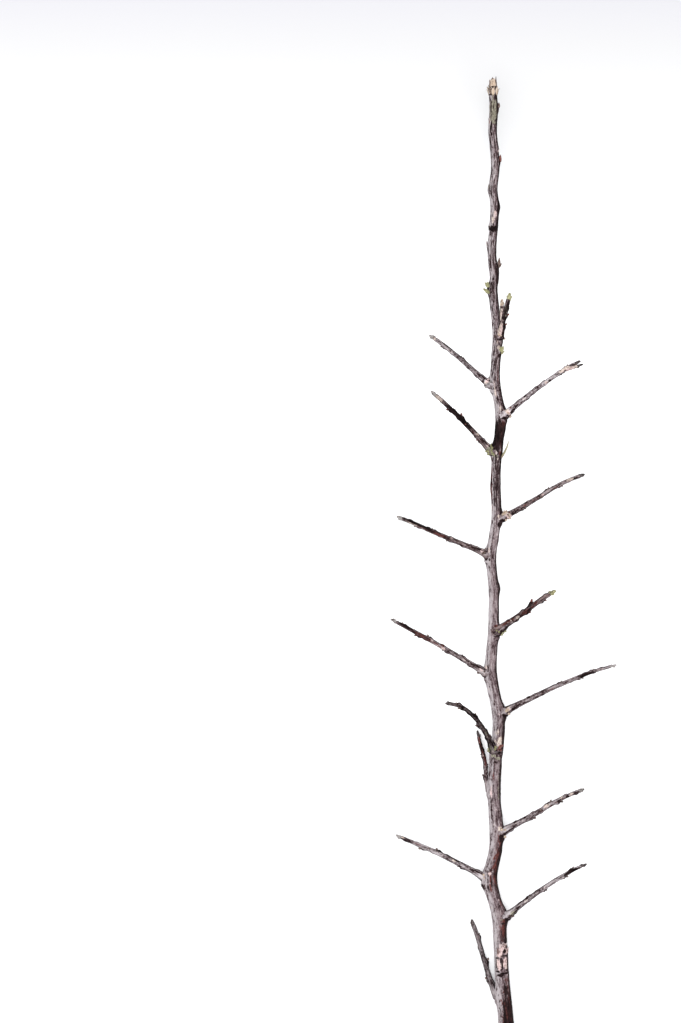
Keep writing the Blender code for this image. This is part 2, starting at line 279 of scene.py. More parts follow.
# The stem's centre line: (across, along, up).
STEM_ROUTE = (
    (3, 0, 4.3), (1.2, 24, 5.1), (-0.5, 44, 5.8), (-1.6, 64, 6.2), (-2.5, 76, 6.6), (-6.4, 94, 7.8),
    (-3.8, 113, 9.4), (-4.7, 138, 9.6), (-4, 154, 10.4), (-2.6, 174, 11.9), (-6.3, 199, 12.2),
    (-5.3, 219, 13.6), (-5.1, 238, 13.5), (-6.2, 256, 14.2), (-3.9, 277, 15.8), (-4, 298, 15.6),
    (-2.1, 325, 17), (-4.4, 345, 17.4), (-3.6, 367, 18.6), (-5.6, 388, 18.8), (-5, 395, 19.4),
    (-6.1, 408, 19.2), (-4.8, 429, 20.6), (-5.5, 439, 20.8), (-4.6, 451, 21.4), (-5.8, 468, 21),
    (-5.4, 478, 21.6), (-5.8, 490.5, 22),
)
# The stem's radius: (along, radius).
STEM_TAPER = (
    (0, 4.25), (24, 3.9), (50, 3.5), (150, 3.2), (200, 2.85), (240, 2.5), (350, 2.35), (410, 2.2),
    (491, 2.1),
)
# Swellings of the stem: (along, degrees round it, height, reach along the stem).
STEM_CUSHIONS = (
    (16, 80, 0.5, 4), (57, 35, 0.6, 3.5), (91, -70, 0.8, 4), (126, 70, 0.4, 4), (161, 30, 0.7, 4),
    (190, -60, 0.5, 4), (240, 80, 0.9, 3), (265, 60, 0.5, 4), (290, -80, 0.5, 4), (308, 20, 0.6, 3.5),
    (320, 75, 0.6, 4), (357.5, 40, 0.6, 3), (389, -75, 0.9, 3), (399, 85, 0.6, 3), (411, -90, 0.5, 2.5),
    (420.5, -80, 0.5, 2), (430, 80, 0.6, 2.5), (439, -85, 0.7, 2.5), (452.5, 70, 0.6, 2),
    (459.5, 60, 0.3, 2), (479, 75, 0.6, 2),
)
# Rings of old bud scars round the stem: (along, how many, height).
STEM_RINGS = (
    (46.8, 3, 0.22), (93, 3, 0.1), (157.5, 3, 0.14), (309, 4, 0.12), (326.5, 3, 0.12), (357, 3, 0.12),
    (389.5, 2, 0.12), (420, 4, 0.16), (471, 2, 0.12), (487, 4, 0.14),
)

# The stem's stains, from the cut end to the tip. The dark patches just under the shoots' feet are painted
# shade in the notches there, and the long dark marks at 80 to 90 degrees are painted shade on the right side
# as well as the bark's darker colour there.
STEM_MARKS = mark_rows(
    # The thick end: grey on its left, red-brown on its right, with a furrow between them.
    (20, -6, 46, 1.5, D, 0.95, -0.35), (21, 62, 52, 9.6, R), (20, 30, 44, 1.7, D, 0.95, -0.1),
    (20, 82, 46, 3.6, D, 0.8), (26, -40, 26, 0.8, D, 0.45, -0.12), (36, 14, 16, 1.2, D, 0.9, -0.15),
    # The ring and the broken scar over it.
    (46.4, -12, 1.8, 3.4, D, 1, -0.35), (47.2, 24, 1.4, 4.4, D, 1, -0.35),
    (48.3, -44, 1.3, 2.4, D, 1, -0.25), (48.8, 62, 1.3, 2.6, D, 1, -0.25), (51.8, -24, 6.6, 2.5, P, 1, 0.1),
    (52.2, 32, 7, 2.3, P, 1, 0.1), (51.8, 3, 7, 0.8, D, 1, -0.3), (51.8, -52, 7, 0.8, D, 1, -0.2),
    (52, 60, 7.5, 1, D, 1, -0.2), (55.1, -34, 0.8, 2, D, 1, -0.2), (56.8, -12, 3.4, 2.2, P, 1, 0.5),
    (59.4, 4, 3.8, 2.4, P, 1, 0.7), (61.4, 26, 2.8, 3.8, P, 1, 0.8), (58.8, 48, 4.4, 2, P, 1, 0.6),
    (58.4, 25, 2, 1.6, D, 1, -0.4), (56, 22, 0.9, 3, D, 0.9, -0.3), (70, 58, 18, 5, R, 0.95),
    (67, 20, 10, 3, R, 0.6),
    # Under the sixth right shoot's fork: wrinkles of olive and brown bark.
    (74, 42, 1.2, 4.2, O, 0.85, 0.16), (72.2, 36, 1, 4.6, D, 0.65, -0.14), (76, 46, 1, 3.8, D, 0.55, -0.12),
    (73, 80, 4, 2.4, D, 0.75), (80, 68, 14, 2.6, R, 0.6),
    # Beside the third left shoot.
    (97.5, -14, 2.4, 2.2, P, 0.75, 0.05), (95, -2, 5, 1, R, 1, -0.12), (93, 6, 7, 0.7, D, 0.9, -0.18),
    (99, -6, 3, 0.8, R, 0.9), (90, -10, 5, 0.9, R, 0.7), (91, -72, 3.2, 2.6, D, 0.8), (104, 60, 38, 6, R),
    (103, 86, 38, 4, D, 0.95),
    # Under the fifth right shoot.
    (119.6, 30, 2.6, 1.6, P, 0.9, 0.08), (120.4, 52, 1.2, 2.2, P, 0.7, 0.15), (115.4, 60, 5, 4, D, 1, -0.1),
    (111.5, 48, 5, 1.2, D, 0.6), (128, 70, 10, 1.6, P, 0.35),
    # The middle stretch, with a little green algae on its right side.
    (134, -30, 18, 1.4, P, 0.35), (141, 40, 18, 1.6, O, 0.55), (149, 56, 10, 1.4, O, 0.6),
    (136, 60, 12, 1.4, O, 0.45), (148, -10, 16, 1.1, R, 0.45),
    # Under the arching front shoot.
    (158.4, 6, 2, 6, D, 1, -0.25), (160.2, 30, 2.2, 2, D, 1, -0.15), (156.6, -20, 1.8, 2, O, 0.95, 0.25),
    (155.4, 14, 2.2, 2.6, O, 0.9, 0.2), (153.4, -2, 1.4, 1.8, D, 0.75, -0.1),
    (164, 10, 5, 3.6, P, 0.75, 0.05), (164.5, 30, 4, 1.2, R, 0.75), (168.5, -8, 4, 2, P, 0.5),
    # Under the third right shoot.
    (178.6, 52, 1.8, 2.2, P, 0.95, 0.1), (175.6, 70, 3.6, 2.4, D, 1, -0.1), (173, 84, 5, 1.8, D, 0.7),
    (186, 84, 14, 1.8, D, 0.45),
    # The second left shoot's foot.
    (197, -70, 3.2, 2.6, D, 0.85), (200.8, -46, 2.6, 2, P, 0.55), (204, 84, 18, 2.2, D, 0.8),
    (212, 62, 12, 1.2, D, 0.6),
    # The fourth right shoot's foot.
    (217, 40, 3.2, 2.8, D, 0.85, -0.1), (221.2, 20, 2.4, 2.2, R, 0.8, 0.05),
    (219.4, 44, 1.4, 1.4, P, 0.75, 0.1), (240, 84, 2.6, 1.6, D, 0.7), (236, 50, 20, 0.8, R, 0.4),
    # The third left shoot's foot.
    (255.4, -60, 3.6, 2.4, D, 0.95), (254.6, -22, 1.8, 1.2, D, 0.75), (250.5, -26, 1.5, 0.9, D, 0.65),
    (259, -40, 3.4, 1.8, P, 0.45),
    # The fifth right shoot's beaded foot and the dark stretch above it.
    (272.4, 48, 3.2, 2.4, D, 1, -0.15), (276.2, 28, 2, 1.4, P, 0.8, 0.12), (284, 0, 16, 1, D, 0.65),
    (290, -26, 26, 1.1, D, 0.7), (292, -66, 30, 1.8, R, 0.95), (300, 52, 16, 1.4, D, 0.75),
    (296, 14, 24, 2.8, D, 0.58), (303, -12, 12, 1.2, D, 0.75), (281, -62, 10, 1, P, 0.35),
    # The almost black stretch between the fifth left and sixth right shoots.
    (307.5, 30, 3, 2.2, R, 0.8), (316.5, -20, 20, 4.4, D), (317, 34, 19, 4, R, 0.8),
    (317.5, 20, 19, 3.2, D, 0.5), (317, 70, 17, 3, D, 0.7), (316, -66, 19, 3.4, D),
    (312.5, 6, 9, 0.7, P, 0.45), (306.4, -20, 1.6, 3, O, 0.9, 0.2), (308.6, -30, 1.4, 2.4, P, 0.9, 0.15),
    (305, 4, 1.6, 1.2, P, 0.7, 0.1), (325.6, 50, 3.6, 3.6, D, 1, -0.1), (328.6, 50, 1.6, 1.6, P, 0.8, 0.1),
    (330, 14, 3.4, 2, P, 0.5), (338, -20, 14, 1.4, P, 0.5), (345, 30, 14, 1, R, 0.5),
    # Under and beside the small fork; the dark mark at 396 mm is a painted shadow under the bud above it.
    (356.4, 32, 2.2, 2.6, D, 0.9, -0.1), (360.5, 20, 2.4, 1.4, P, 0.7), (365.6, 24, 3, 1.2, P, 0.95, 0.05),
    (363.6, 2, 3.4, 0.7, P, 0.7), (368, 4, 4.2, 0.6, P, 0.55), (352, -4, 10, 0.8, D, 0.6, -0.08),
    (375, -30, 18, 0.8, D, 0.55), (379, 30, 14, 0.9, D, 0.55), (383, -62, 10, 1.2, D, 0.7),
    (390, -62, 6.5, 1.6, D, 0.95, -0.1), (396, 34, 9, 1.5, D, 1, -0.1), (390.5, -8, 8, 1, D, 0.85, -0.1),
    (403.5, 10, 14, 0.9, D, 0.75, -0.1), (401, 66, 9, 1.3, D, 0.9), (411, -84, 6, 1.4, P, 0.5, 0.1),
    (412, 34, 12, 0.8, D, 0.65),
    # The dark ring.
    (419.6, 0, 3.4, 6.5, D, 1, -0.1), (419.2, 90, 3, 4, D, 0.9), (419.4, -90, 3, 4, D, 0.85),
    (423.9, -16, 4, 2.4, P, 1, 0.05), (426.8, 6, 3.8, 2, P, 1, 0.05), (423.5, 46, 6, 1, R, 0.7),
    (431, 58, 5, 1.2, D, 0.75), (437.5, -34, 9, 0.8, D, 0.95, -0.15), (440.5, -8, 7, 0.6, D, 0.75, -0.1),
    (440, -66, 3, 1.8, O, 0.5), (446, 60, 8, 1.3, D, 0.7), (452.5, 60, 6, 1.4, R, 0.85),
    (457.4, 56, 2.2, 1.2, P, 1, 0.1), (461, -50, 10, 1.2, D, 0.7), (464, 10, 12, 0.7, D, 0.6),
    (471.2, -22, 5, 1.1, D, 1, -0.35), (472.8, -58, 3.6, 0.9, P, 1, 0.3), (469, -40, 6, 0.9, D, 0.85),
    # The greenish last stretch under the tip; the dark marks at 490.2 mm are painted shade in the gaps under
    # the tip's loose scales.
    (478, 0, 15, 9, O, 0.78), (480, -36, 12, 1.2, D, 0.75), (478.5, 180, 13, 7, O, 0.6),
    (484.4, 30, 3.6, 3.4, D, 0.6), (484, -50, 2.6, 2.2, D, 0.55), (490.2, 0, 4, 9, D, 0.8),
    (490.2, 180, 4, 9, D, 0.8), (486, 0, 0.7, 9, D, 1, -0.1),
)

# The side shoots, from the cut end to the tip, with their values in the order of ShootDesign's attributes.
# The long thin dark marks at 60 to 85 degrees either side are painted shade along the shoots' edges.
SHOOTS = (
    ShootDesign(
        "left_1", ((-3.5, 36.5), (-6.5, 43.5), (-10, 55), (-13.2, 66), (-15.9, 73.8)),
        -1.2, 2.2, 0.3, 1.6, 1,
        cushion_rows((0.3, -90), (0.52, 90), (0.85, 80, 0.7)),
        Palette.DARK,
        mark_rows((20, 60, 40, 1.2, D, 0.9), (14, -80, 24, 0.9, D, 0.7), (30, 20, 10, 1.2, R, 0.4)),
        0.3, 0.7, 0,
    ),
    ShootDesign(
        "right_1", ((2.5, 76.5), (8.5, 81.5), (20.5, 90.6), (32.5, 98.2), (41.5, 102.5)),
        0.8, 14, 1.5, 1.7, 0.85,
        cushion_rows((0.38, -90, 0.6), (0.55, 90, 0.7), (0.8, 90), (0.9, -80, 0.8)),
        Palette.DARK,
        mark_rows(
            (16, -62, 30, 1, D, 0.9), (16, -10, 26, 1, P, 0.4), (18, 78, 30, 1, D, 0.7),
            (3, 30, 3.2, 2.6, O, 0.6), (2.6, 70, 3, 2, D, 0.8), (39, 0, 9, 3, D),
            (35.5, 20, 3, 1.6, D, 0.9),
        ),
        0.1, 1.05, 3, Palette.BROWN,
    ),
    ShootDesign(
        "left_2", ((-10, 95.5), (-15, 98.3), (-33, 107.3), (-44, 112), (-54, 116.2)),
        -0.2, 3.4, 1, 1.65, 0.9,
        cushion_rows((0.33, -90, 0.7), (0.6, 95), (0.68, 20, 0.7), (0.76, -90)),
        Palette.GREY,
        mark_rows(
            (15.5, 40, 4.5, 1.3, D, 0.75, -0.12), (17, 10, 3, 1.3, P, 0.8, 0.05),
            (14, -74, 24, 0.9, D, 0.7), (12, 74, 20, 0.8, D, 0.5), (37, 0, 10, 1.2, R, 0.5),
            (46, 30, 8, 1.8, P, 0.8), (43.5, -40, 8, 2.2, D),
        ),
        0.12, 1.15, 3, Palette.CREAM,
    ),
    ShootDesign(
        "right_2", ((-0.5, 118.3), (5, 121.3), (17, 127.8), (29, 134.6), (40.7, 139.5)),
        0.2, 5.2, 0.8, 1.8, 0.9,
        cushion_rows((0.42, 95, 1.1), (0.52, -15, 0.9), (0.66, -90), (0.76, 85)),
        Palette.GREY,
        mark_rows(
            (25.5, -24, 3.6, 2, P, 0.95, 0.12), (27.6, 26, 2, 0.9, R, 0.9), (22, 20, 2.4, 1.2, R, 0.8),
            (33, 10, 7, 1.6, R, 0.55), (12, 78, 18, 1, D, 0.7), (16, -8, 9, 0.9, R, 0.35),
            (39.5, 0, 3, 2.6, P, 0.8), (37, 20, 2, 2.6, D, 0.95), (34, -30, 2, 1.8, P, 0.8),
            (32, 20, 2, 2.2, D, 0.9),
        ),
        0.25, 1, 5, Palette.CREAM, 1.7,
    ),
    ShootDesign(
        "back_left", ((-7.2, 140), (-8.6, 147), (-9.4, 154.5), (-11.6, 162.5), (-13, 168.7)),
        -1.8, 2.4, -0.5, 1.3, 0.85,
        cushion_rows((0.3, -95), (0.48, 95, 0.7), (0.66, -80, 0.7)),
        Palette.DARK,
        mark_rows((20, 0, 18, 3.4, R), (22, 40, 14, 1.6, D), (17, -30, 2, 1.1, P, 0.6)),
        0.4, 0.95, 0,
    ),
    ShootDesign(
        "front_left",
        ((-5.6, 160), (-8.4, 166.5), (-14, 175), (-20.4, 180.8), (-26, 182.8), (-29.8, 182.5)),
        2.9, 31, 3.5, 1.5, 0.95,
        cushion_rows((0.28, 70, 0.7), (0.5, -95), (0.64, 85, 0.8), (0.86, -90, 0.9), (0.92, 60, 0.7)),
        Palette.DARK,
        mark_rows(
            (8, -50, 12, 1.4, D, 0.9), (16, 62, 16, 1.4, D, 0.95), (26, -40, 12, 1.4, D, 0.85),
            (12, 10, 3, 1.2, O, 0.8), (17.5, -80, 3, 1.6, R, 0.95), (10, -10, 2, 1, P, 0.6),
            (31.5, 10, 2.4, 3, D), (25, 40, 8, 2, D), (3, -30, 5, 1.6, O, 0.6),
        ),
        0.6, 0.42, 5, Palette.GREEN, 1.6,
    ),
    ShootDesign(
        "right_3", ((1.2, 178.8), (6, 181.4), (24, 190), (42, 197.4), (56.7, 201.8)),
        0.3, 8.6, 1, 1.7, 0.75,
        cushion_rows((0.34, -60, 0.5), (0.56, -95, 0.7), (0.73, 85, 0.8), (0.84, -80, 0.7)),
        Palette.GREY,
        mark_rows(
            (1.5, -20, 2, 2.4, P, 0.9, 0.1), (3.4, 40, 1.2, 2.4, D, 0.7), (24, 76, 34, 0.9, D, 0.8),
            (20, -76, 30, 0.7, D, 0.6), (22, 10, 12, 0.7, R, 0.45), (44, 10, 11, 3.2, D, 0.95),
            (50, 0, 8, 1.2, P, 0.35),
        ),
        0.35, 0.9, 4, Palette.CREAM,
    ),
    ShootDesign(
        "left_3", ((-10, 198.6), (-15, 201.4), (-33, 212), (-45, 218.6), (-56.7, 224.8)),
        0.2, 12.5, 1.2, 1.6, 0.85,
        cushion_rows((0.3, 95, 0.6), (0.48, -90, 0.7), (0.66, 90, 0.9), (0.76, -95), (0.92, 80, 0.7)),
        Palette.GREY,
        mark_rows(
            (10, 80, 22, 0.9, D, 0.6), (10, -74, 20, 0.9, D, 0.7), (8, 10, 16, 0.9, P, 0.35),
            (23, -20, 3.4, 1.5, P, 0.7, 0.05), (24.5, 40, 2, 0.9, R, 0.9), (38, -10, 26, 3, R, 0.75),
            (36, 66, 24, 1, D, 0.8), (40, -40, 2, 1.1, D, 0.9), (30, 20, 1.6, 1, P, 0.5),
            (53, 0, 2, 4, P, 0.7), (45.5, 20, 11, 3, D),
        ),
        0.4, 0.95, 3, Palette.BROWN,
    ),
    ShootDesign(
        "right_4", ((-2.6, 219.3), (1.5, 222.4), (10.5, 228.8), (19.5, 235.6), (25.5, 239.2)),
        1.9, 25, 1.2, 1.8, 1.2,
        cushion_rows((0.35, 0, 0.7), (0.58, 85, 0.9), (0.7, -90, 1.2), (0.86, 90, 0.9)),
        Palette.GREEN,
        mark_rows(
            (12.5, 6, 2.6, 2, P, 0.95, 0.1), (7, -30, 8, 1.8, R, 0.7), (18, 20, 12, 2.8, R, 0.8),
            (16, 70, 18, 1.3, D, 0.9), (8, 70, 10, 1.2, D, 0.8), (21, -40, 5, 1.2, D, 0.7),
            (26, 30, 2, 1.2, P, 0.6), (24, -20, 3, 1.2, R, 0.9),
        ),
        0.7, 0.7, 6, Palette.GREEN, 1.7,
    ),
    ShootDesign(
        "left_4", ((-9, 257.4), (-15, 260), (-33, 267.3), (-44, 272.3), (-53.5, 276.1)),
        -0.3, 0.95, 1.2, 1.5, 0.95,
        cushion_rows((0.22, 85, 0.6), (0.46, -85, 0.8), (0.64, 95, 0.7), (0.82, -90, 0.8)),
        Palette.GREY,
        mark_rows(
            (2, 20, 3, 1.8, P, 0.5), (30, 0, 26, 2.4, R, 0.7), (22, -76, 36, 1, D, 0.85),
            (14, 84, 20, 0.8, D, 0.6), (19, 30, 2.4, 1, P, 0.6), (41.5, -45, 8, 1.6, P, 0.95),
            (38, 26, 24, 3, D),
        ),
        0.6, 0.82, 4, Palette.BROWN, 1.3,
    ),
    ShootDesign(
        "right_5", ((0.2, 276), (5, 278.4), (17, 285.3), (29, 292.4), (41, 297.3)),
        -0.4, 0.85, 1, 1.5, 0.9,
        cushion_rows((0.3, 95, 0.7), (0.5, 20, 0.7), (0.62, -90, 0.8), (0.76, 90, 0.8)),
        Palette.DARK,
        mark_rows(
            (1.2, 0, 1.8, 3.6, P, 1, 0.3), (2.6, 40, 1.4, 2.4, P, 0.9, 0.3),
            (2.8, -40, 1.2, 1.8, R, 0.8, 0.1), (4.2, 0, 1.2, 2.4, D, 0.6), (16, 10, 18, 1.6, R, 0.5),
            (22.5, -10, 2, 1.6, P, 0.75, 0.1), (24, 60, 16, 1.2, D, 0.8), (39.5, -10, 5, 2.8, P, 1, 0.12),
            (42, 20, 1.2, 2.6, D), (30, 20, 6, 1, R, 0.9),
        ),
        0.45, 0.95, 14, Palette.CREAM,
    ),
    ShootDesign(
        "left_5", ((-7, 309.5), (-13.5, 316.2), (-25.5, 328.4), (-36.7, 338.5)),
        0.4, 24.5, 1, 1.6, 1,
        cushion_rows((0.26, -80, 0.8), (0.5, -10, 0.6), (0.6, 95, 1.1), (0.76, -95, 0.9)),
        Palette.GREY,
        mark_rows(
            (1, 0, 2.4, 3.4, O, 0.9, 0.15), (3, 30, 2, 1.4, P, 0.7, 0.1),
            (10.5, 30, 2.6, 1.5, P, 0.95, 0.15), (12.6, -20, 2, 1.2, R, 0.8), (9, -70, 12, 1, D, 0.8),
            (24, 0, 20, 6, D), (24, -80, 20, 4, D), (19, 60, 4, 1.4, D, 0.7), (37, -20, 5, 4.4, P),
            (34.5, 40, 2, 1.2, R, 0.6),
        ),
        0.65, 0.72, 8, Palette.GREEN, 1.2,
    ),
    ShootDesign(
        "right_6", ((1, 327.3), (5.5, 331), (17.5, 340.6), (29.5, 349), (38, 353.6)),
        0.5, 21, 0.8, 1.55, 0.95,
        cushion_rows((0.42, 20, 0.4), (0.6, -90, 0.6), (0.82, 95, 0.8), (0.9, -70, 0.7)),
        Palette.DARK,
        mark_rows(
            (1.5, 0, 2.2, 3.2, P, 0.85, 0.15), (2.8, 60, 2, 2, D, 0.9), (3.8, -40, 1.6, 1.4, R, 0.7),
            (18, 74, 32, 1.1, D, 0.8), (12, -78, 20, 0.8, D, 0.6), (13, -16, 16, 1, P, 0.3),
            (25.4, 10, 1.7, 1.6, P, 1, 0.15), (27.4, 20, 1.6, 1.4, D, 0.8), (33, -10, 5, 1.2, D, 0.5),
            (36.5, 0, 9, 2.6, P, 0.95),
        ),
        0.05, 1.2, 3, Palette.CREAM,
    ),
    ShootDesign(
        "left_6", ((-7.4, 342.6), (-10.5, 344.6), (-19.5, 352.8), (-28.5, 360.4), (-37.3, 366.8)),
        -0.4, 10.5, 0.8, 1.5, 1,
        cushion_rows((0.28, -90, 0.5), (0.56, 95, 0.6), (0.72, -10, 0.6), (0.84, -95, 0.8)),
        Palette.GREY,
        mark_rows(
            (1.2, 20, 2.2, 3, P, 0.55, 0.15), (3, -30, 1.4, 2.4, D, 0.6), (16, 0, 26, 0.8, D, 0.6, -0.08),
            (16, -72, 30, 0.9, D, 0.75), (20, 46, 10, 0.8, R, 0.6), (37, 0, 5, 3.4, P, 0.7),
            (27, 50, 14, 1.2, D, 0.95),
        ),
        0.12, 1.1, 6, Palette.GREY,
    ),
    ShootDesign(
        "right_7", ((-2.2, 366.5), (-1, 372.5), (0.6, 379), (2.6, 387.2)),
        1.4, 25.5, 0.3, 1.5, 1.1,
        cushion_rows((0.35, 90, 0.9), (0.6, 95, 0.9)),
        Palette.GREEN,
        mark_rows(
            (3.6, -6, 7, 2.6, P, 1, 0.1), (6, 34, 7, 1.2, D), (5.5, 60, 10, 1.2, D, 0.85),
            (9.2, 0, 2.2, 5, D), (14, 22, 10, 3.6, D, 0.85), (11, 20, 2, 1.4, O, 0.9),
            (14, 0, 6, 2, O, 0.85), (12.5, 40, 1.6, 1, P, 0.8), (4.2, -34, 2.2, 0.8, P, 0.75),
        ),
        0.65, 0.85, 3, Palette.CREAM,
    ),
)

PRONGS = (
    ProngDesign(
        "right_6_prong", "right_6", 0.84, ((37.2, 351.2), (39, 351.9)), 22.6, 0.95, 0.75, Palette.DARK
    ),
    ProngDesign("right_7_prong", "right_7", 0.42, ((-1.3, 379.8), (-1.1, 384.2)), 24, 1.3, 1, Palette.CREAM),
)

STEM_BUDS = (
    StemBudDesign("stem_bud_1", 160.6, 15, 3.2, 1.9, 35, Palette.RED, 3),
    StemBudDesign("stem_bud_2", 306.8, -48, 3.0, 1.7, 30, Palette.GREEN, 6),
    StemBudDesign("stem_bud_3", 358.4, 44, 3.6, 2.0, 24, Palette.GREEN, 9, 0.2),
    StemBudDesign("stem_bud_4", 387.9, -62, 2.7, 2.3, 42, Palette.GREEN, 12, 0.0),
    StemBudDesign("stem_bud_5", 390.4, -60, 2.8, 2.0, 30, Palette.GREEN, 10, 0.0),
    StemBudDesign("stem_bud_6", 400.2, 86, 5.0, 1.9, 10, Palette.BROWN, 3, 0.05),
    StemBudDesign("stem_bud_7", 452.6, 78, 4.0, 1.7, 5, Palette.RED, 0, -0.12),
    StemBudDesign("stem_bud_8", 479.6, 82, 3.0, 1.7, 6, Palette.BROWN, 0, -0.12),
)
AWN = StemBudDesign("awn", 305.6, 68, 9.9, 1.5, 20, Palette.GREEN)


# ---- numpy tools
def lattice_value(cell: Array, seed: int) -> Array:
    """A repeatable random value for each whole-number cell.

    The three coordinates are multiplied by large odd numbers and mixed with shifts and exclusive-ors.

    Args:
        cell: whole-number coordinates, shape (..., 3).
        seed: which set of values.

    Returns:
        Values from 0 to 1, shape (...).
    """
    mixed = cell[..., 0] * 374761393 + cell[..., 1] * 668265263 + cell[..., 2] * 2147483647 + seed * 974711
    mixed = (mixed ^ (mixed >> 13)) & 0x7FFFFFFF
    mixed = (mixed * 1274126177) & 0x7FFFFFFFFFFF
    mixed = (mixed ^ (mixed >> 16)) & 0xFFFFFF
    return mixed / float(0xFFFFFF)


def value_noise(points: Array, seed: int) -> Array:
    """Smooth random values in space: the lattice's corners blended by 3t^2 - 2t^3 along each axis.

    Args:
        points: positions in lattice units, shape (..., 3).
        seed: which set of values.

    Returns:
        Values from -1 to 1, shape (...).
    """
    low = np.floor(points).astype(np.int64)
    part = points - low
    blend = part * part * (3 - 2 * part)
    total = np.zeros(points.shape[:-1])
    for corner in range(8):
        step = np.array([corner & 1, corner >> 1 & 1, corner >> 2 & 1])
        weight = np.prod(np.where(step, blend, 1 - blend), axis=-1)
        total += weight * lattice_value(low + step, seed)
    return 2 * total - 1


def layered_noise(points: Array, seed: int, layers: int = 3) -> Array:
    """Value noise at several sizes, each layer twice as fine and half as strong as the last.

    Args:
        points: positions in units of the largest size, shape (..., 3).
        seed: which set of values.
        layers: how many sizes.

    Returns:
        Values from about -1 to 1, shape (...).
    """
    total = sum(value_noise(points * 2**layer, seed + layer) / 2**layer for layer in range(layers))
    return total / (2 - 0.5 ** (layers - 1))


def soft_step(value: Array, start: float, end: float) -> Array:
    """0 before start and 1 after end, blended between them by 3t^2 - 2t^3."""
    share = np.clip((value - start) / (end - start), 0, 1)
    return share * share * (3 - 2 * share)


def bell(distance: Array, reach: float) -> Array:
    """1 at no distance and less further off: e^-(distance / reach)^2."""
    return np.exp(-((distance / reach) ** 2))


def angle_between(first: Array, second: float) -> Array:
    """The signed angle from the second heading to the first, from -180 to 180 degrees."""
    return (first - second + 180) % 360 - 180


def headings(sides: int) -> Array:
    """The headings of a ring's sides in degrees, shape (1, sides)."""
    return (np.arange(sides) * 360 / sides)[None, :]


def unit(vector: Array) -> Array:
    """A vector's direction, one unit long."""
    return vector / np.linalg.norm(vector)


def outward_at(up: Array, right: Array, around: float) -> Array:
    """The way out at a heading in degrees: the mix of the up and right sides by its cosine and sine."""
    turn = math.radians(around)
    return up * math.cos(turn) + right * math.sin(turn)


def smooth_route(points: Sequence[Sequence[float]], count: int, spare: float = 0.0) -> Array:
    """Points evenly spaced in length on the Catmull-Rom curve through the given points.

    Between two points the curve is the usual cubic, whose slope at each is half the step between its
    neighbours.

    Args:
        points: the curve's own points.
        count: how many to return.
        spare: how far short of the curve's end they stop, in mm.

    Returns:
        The points, shape (count, 3).
    """
    points = np.asarray(points, float)
    padded = np.vstack([2 * points[0] - points[1], points, 2 * points[-1] - points[-2]])
    steps = np.linspace(0, 1, 16, endpoint=False)[:, None]
    spans = [
        0.5
        * (
            2 * start
            + (end - before) * steps
            + (2 * before - 5 * start + 4 * end - after) * steps**2
            + (3 * start - before - 3 * end + after) * steps**3
        )
        for before, start, end, after in zip(padded, padded[1:], padded[2:], padded[3:])
    ]
    dense = np.vstack([*spans, points[-1:]])
    length = lengths_along(dense)
    wanted = np.linspace(0, length[-1] - spare, count)
    return np.column_stack([np.interp(wanted, length, dense[:, axis]) for axis in range(3)])


def lengths_along(route: Array) -> Array:
    """Each point's distance along the route from its start, shape (n,)."""
    return np.concatenate([[0], np.cumsum(np.linalg.norm(np.diff(route, axis=0), axis=1))])


def frames_along(route: Array) -> tuple[Array, Array, Array]:
    """Each point's direction, its up side, and its right side as seen when looking towards the tip."""
    forward = np.gradient(route, axis=0)
    forward /= np.linalg.norm(forward, axis=1)[:, None]
    up = SKYWARD - forward * forward[:, 2:3]
    up /= np.linalg.norm(up, axis=1)[:, None]
    return forward, up, np.cross(forward, up)


# ---- mesh pieces
def place_object(name: str, data: bpy.types.ID) -> bpy.types.Object:
    """A new object at the origin with the given data, in the scene."""
    made = bpy.data.objects.new(name, data)
    bpy.context.scene.collection.objects.link(made)
    return made


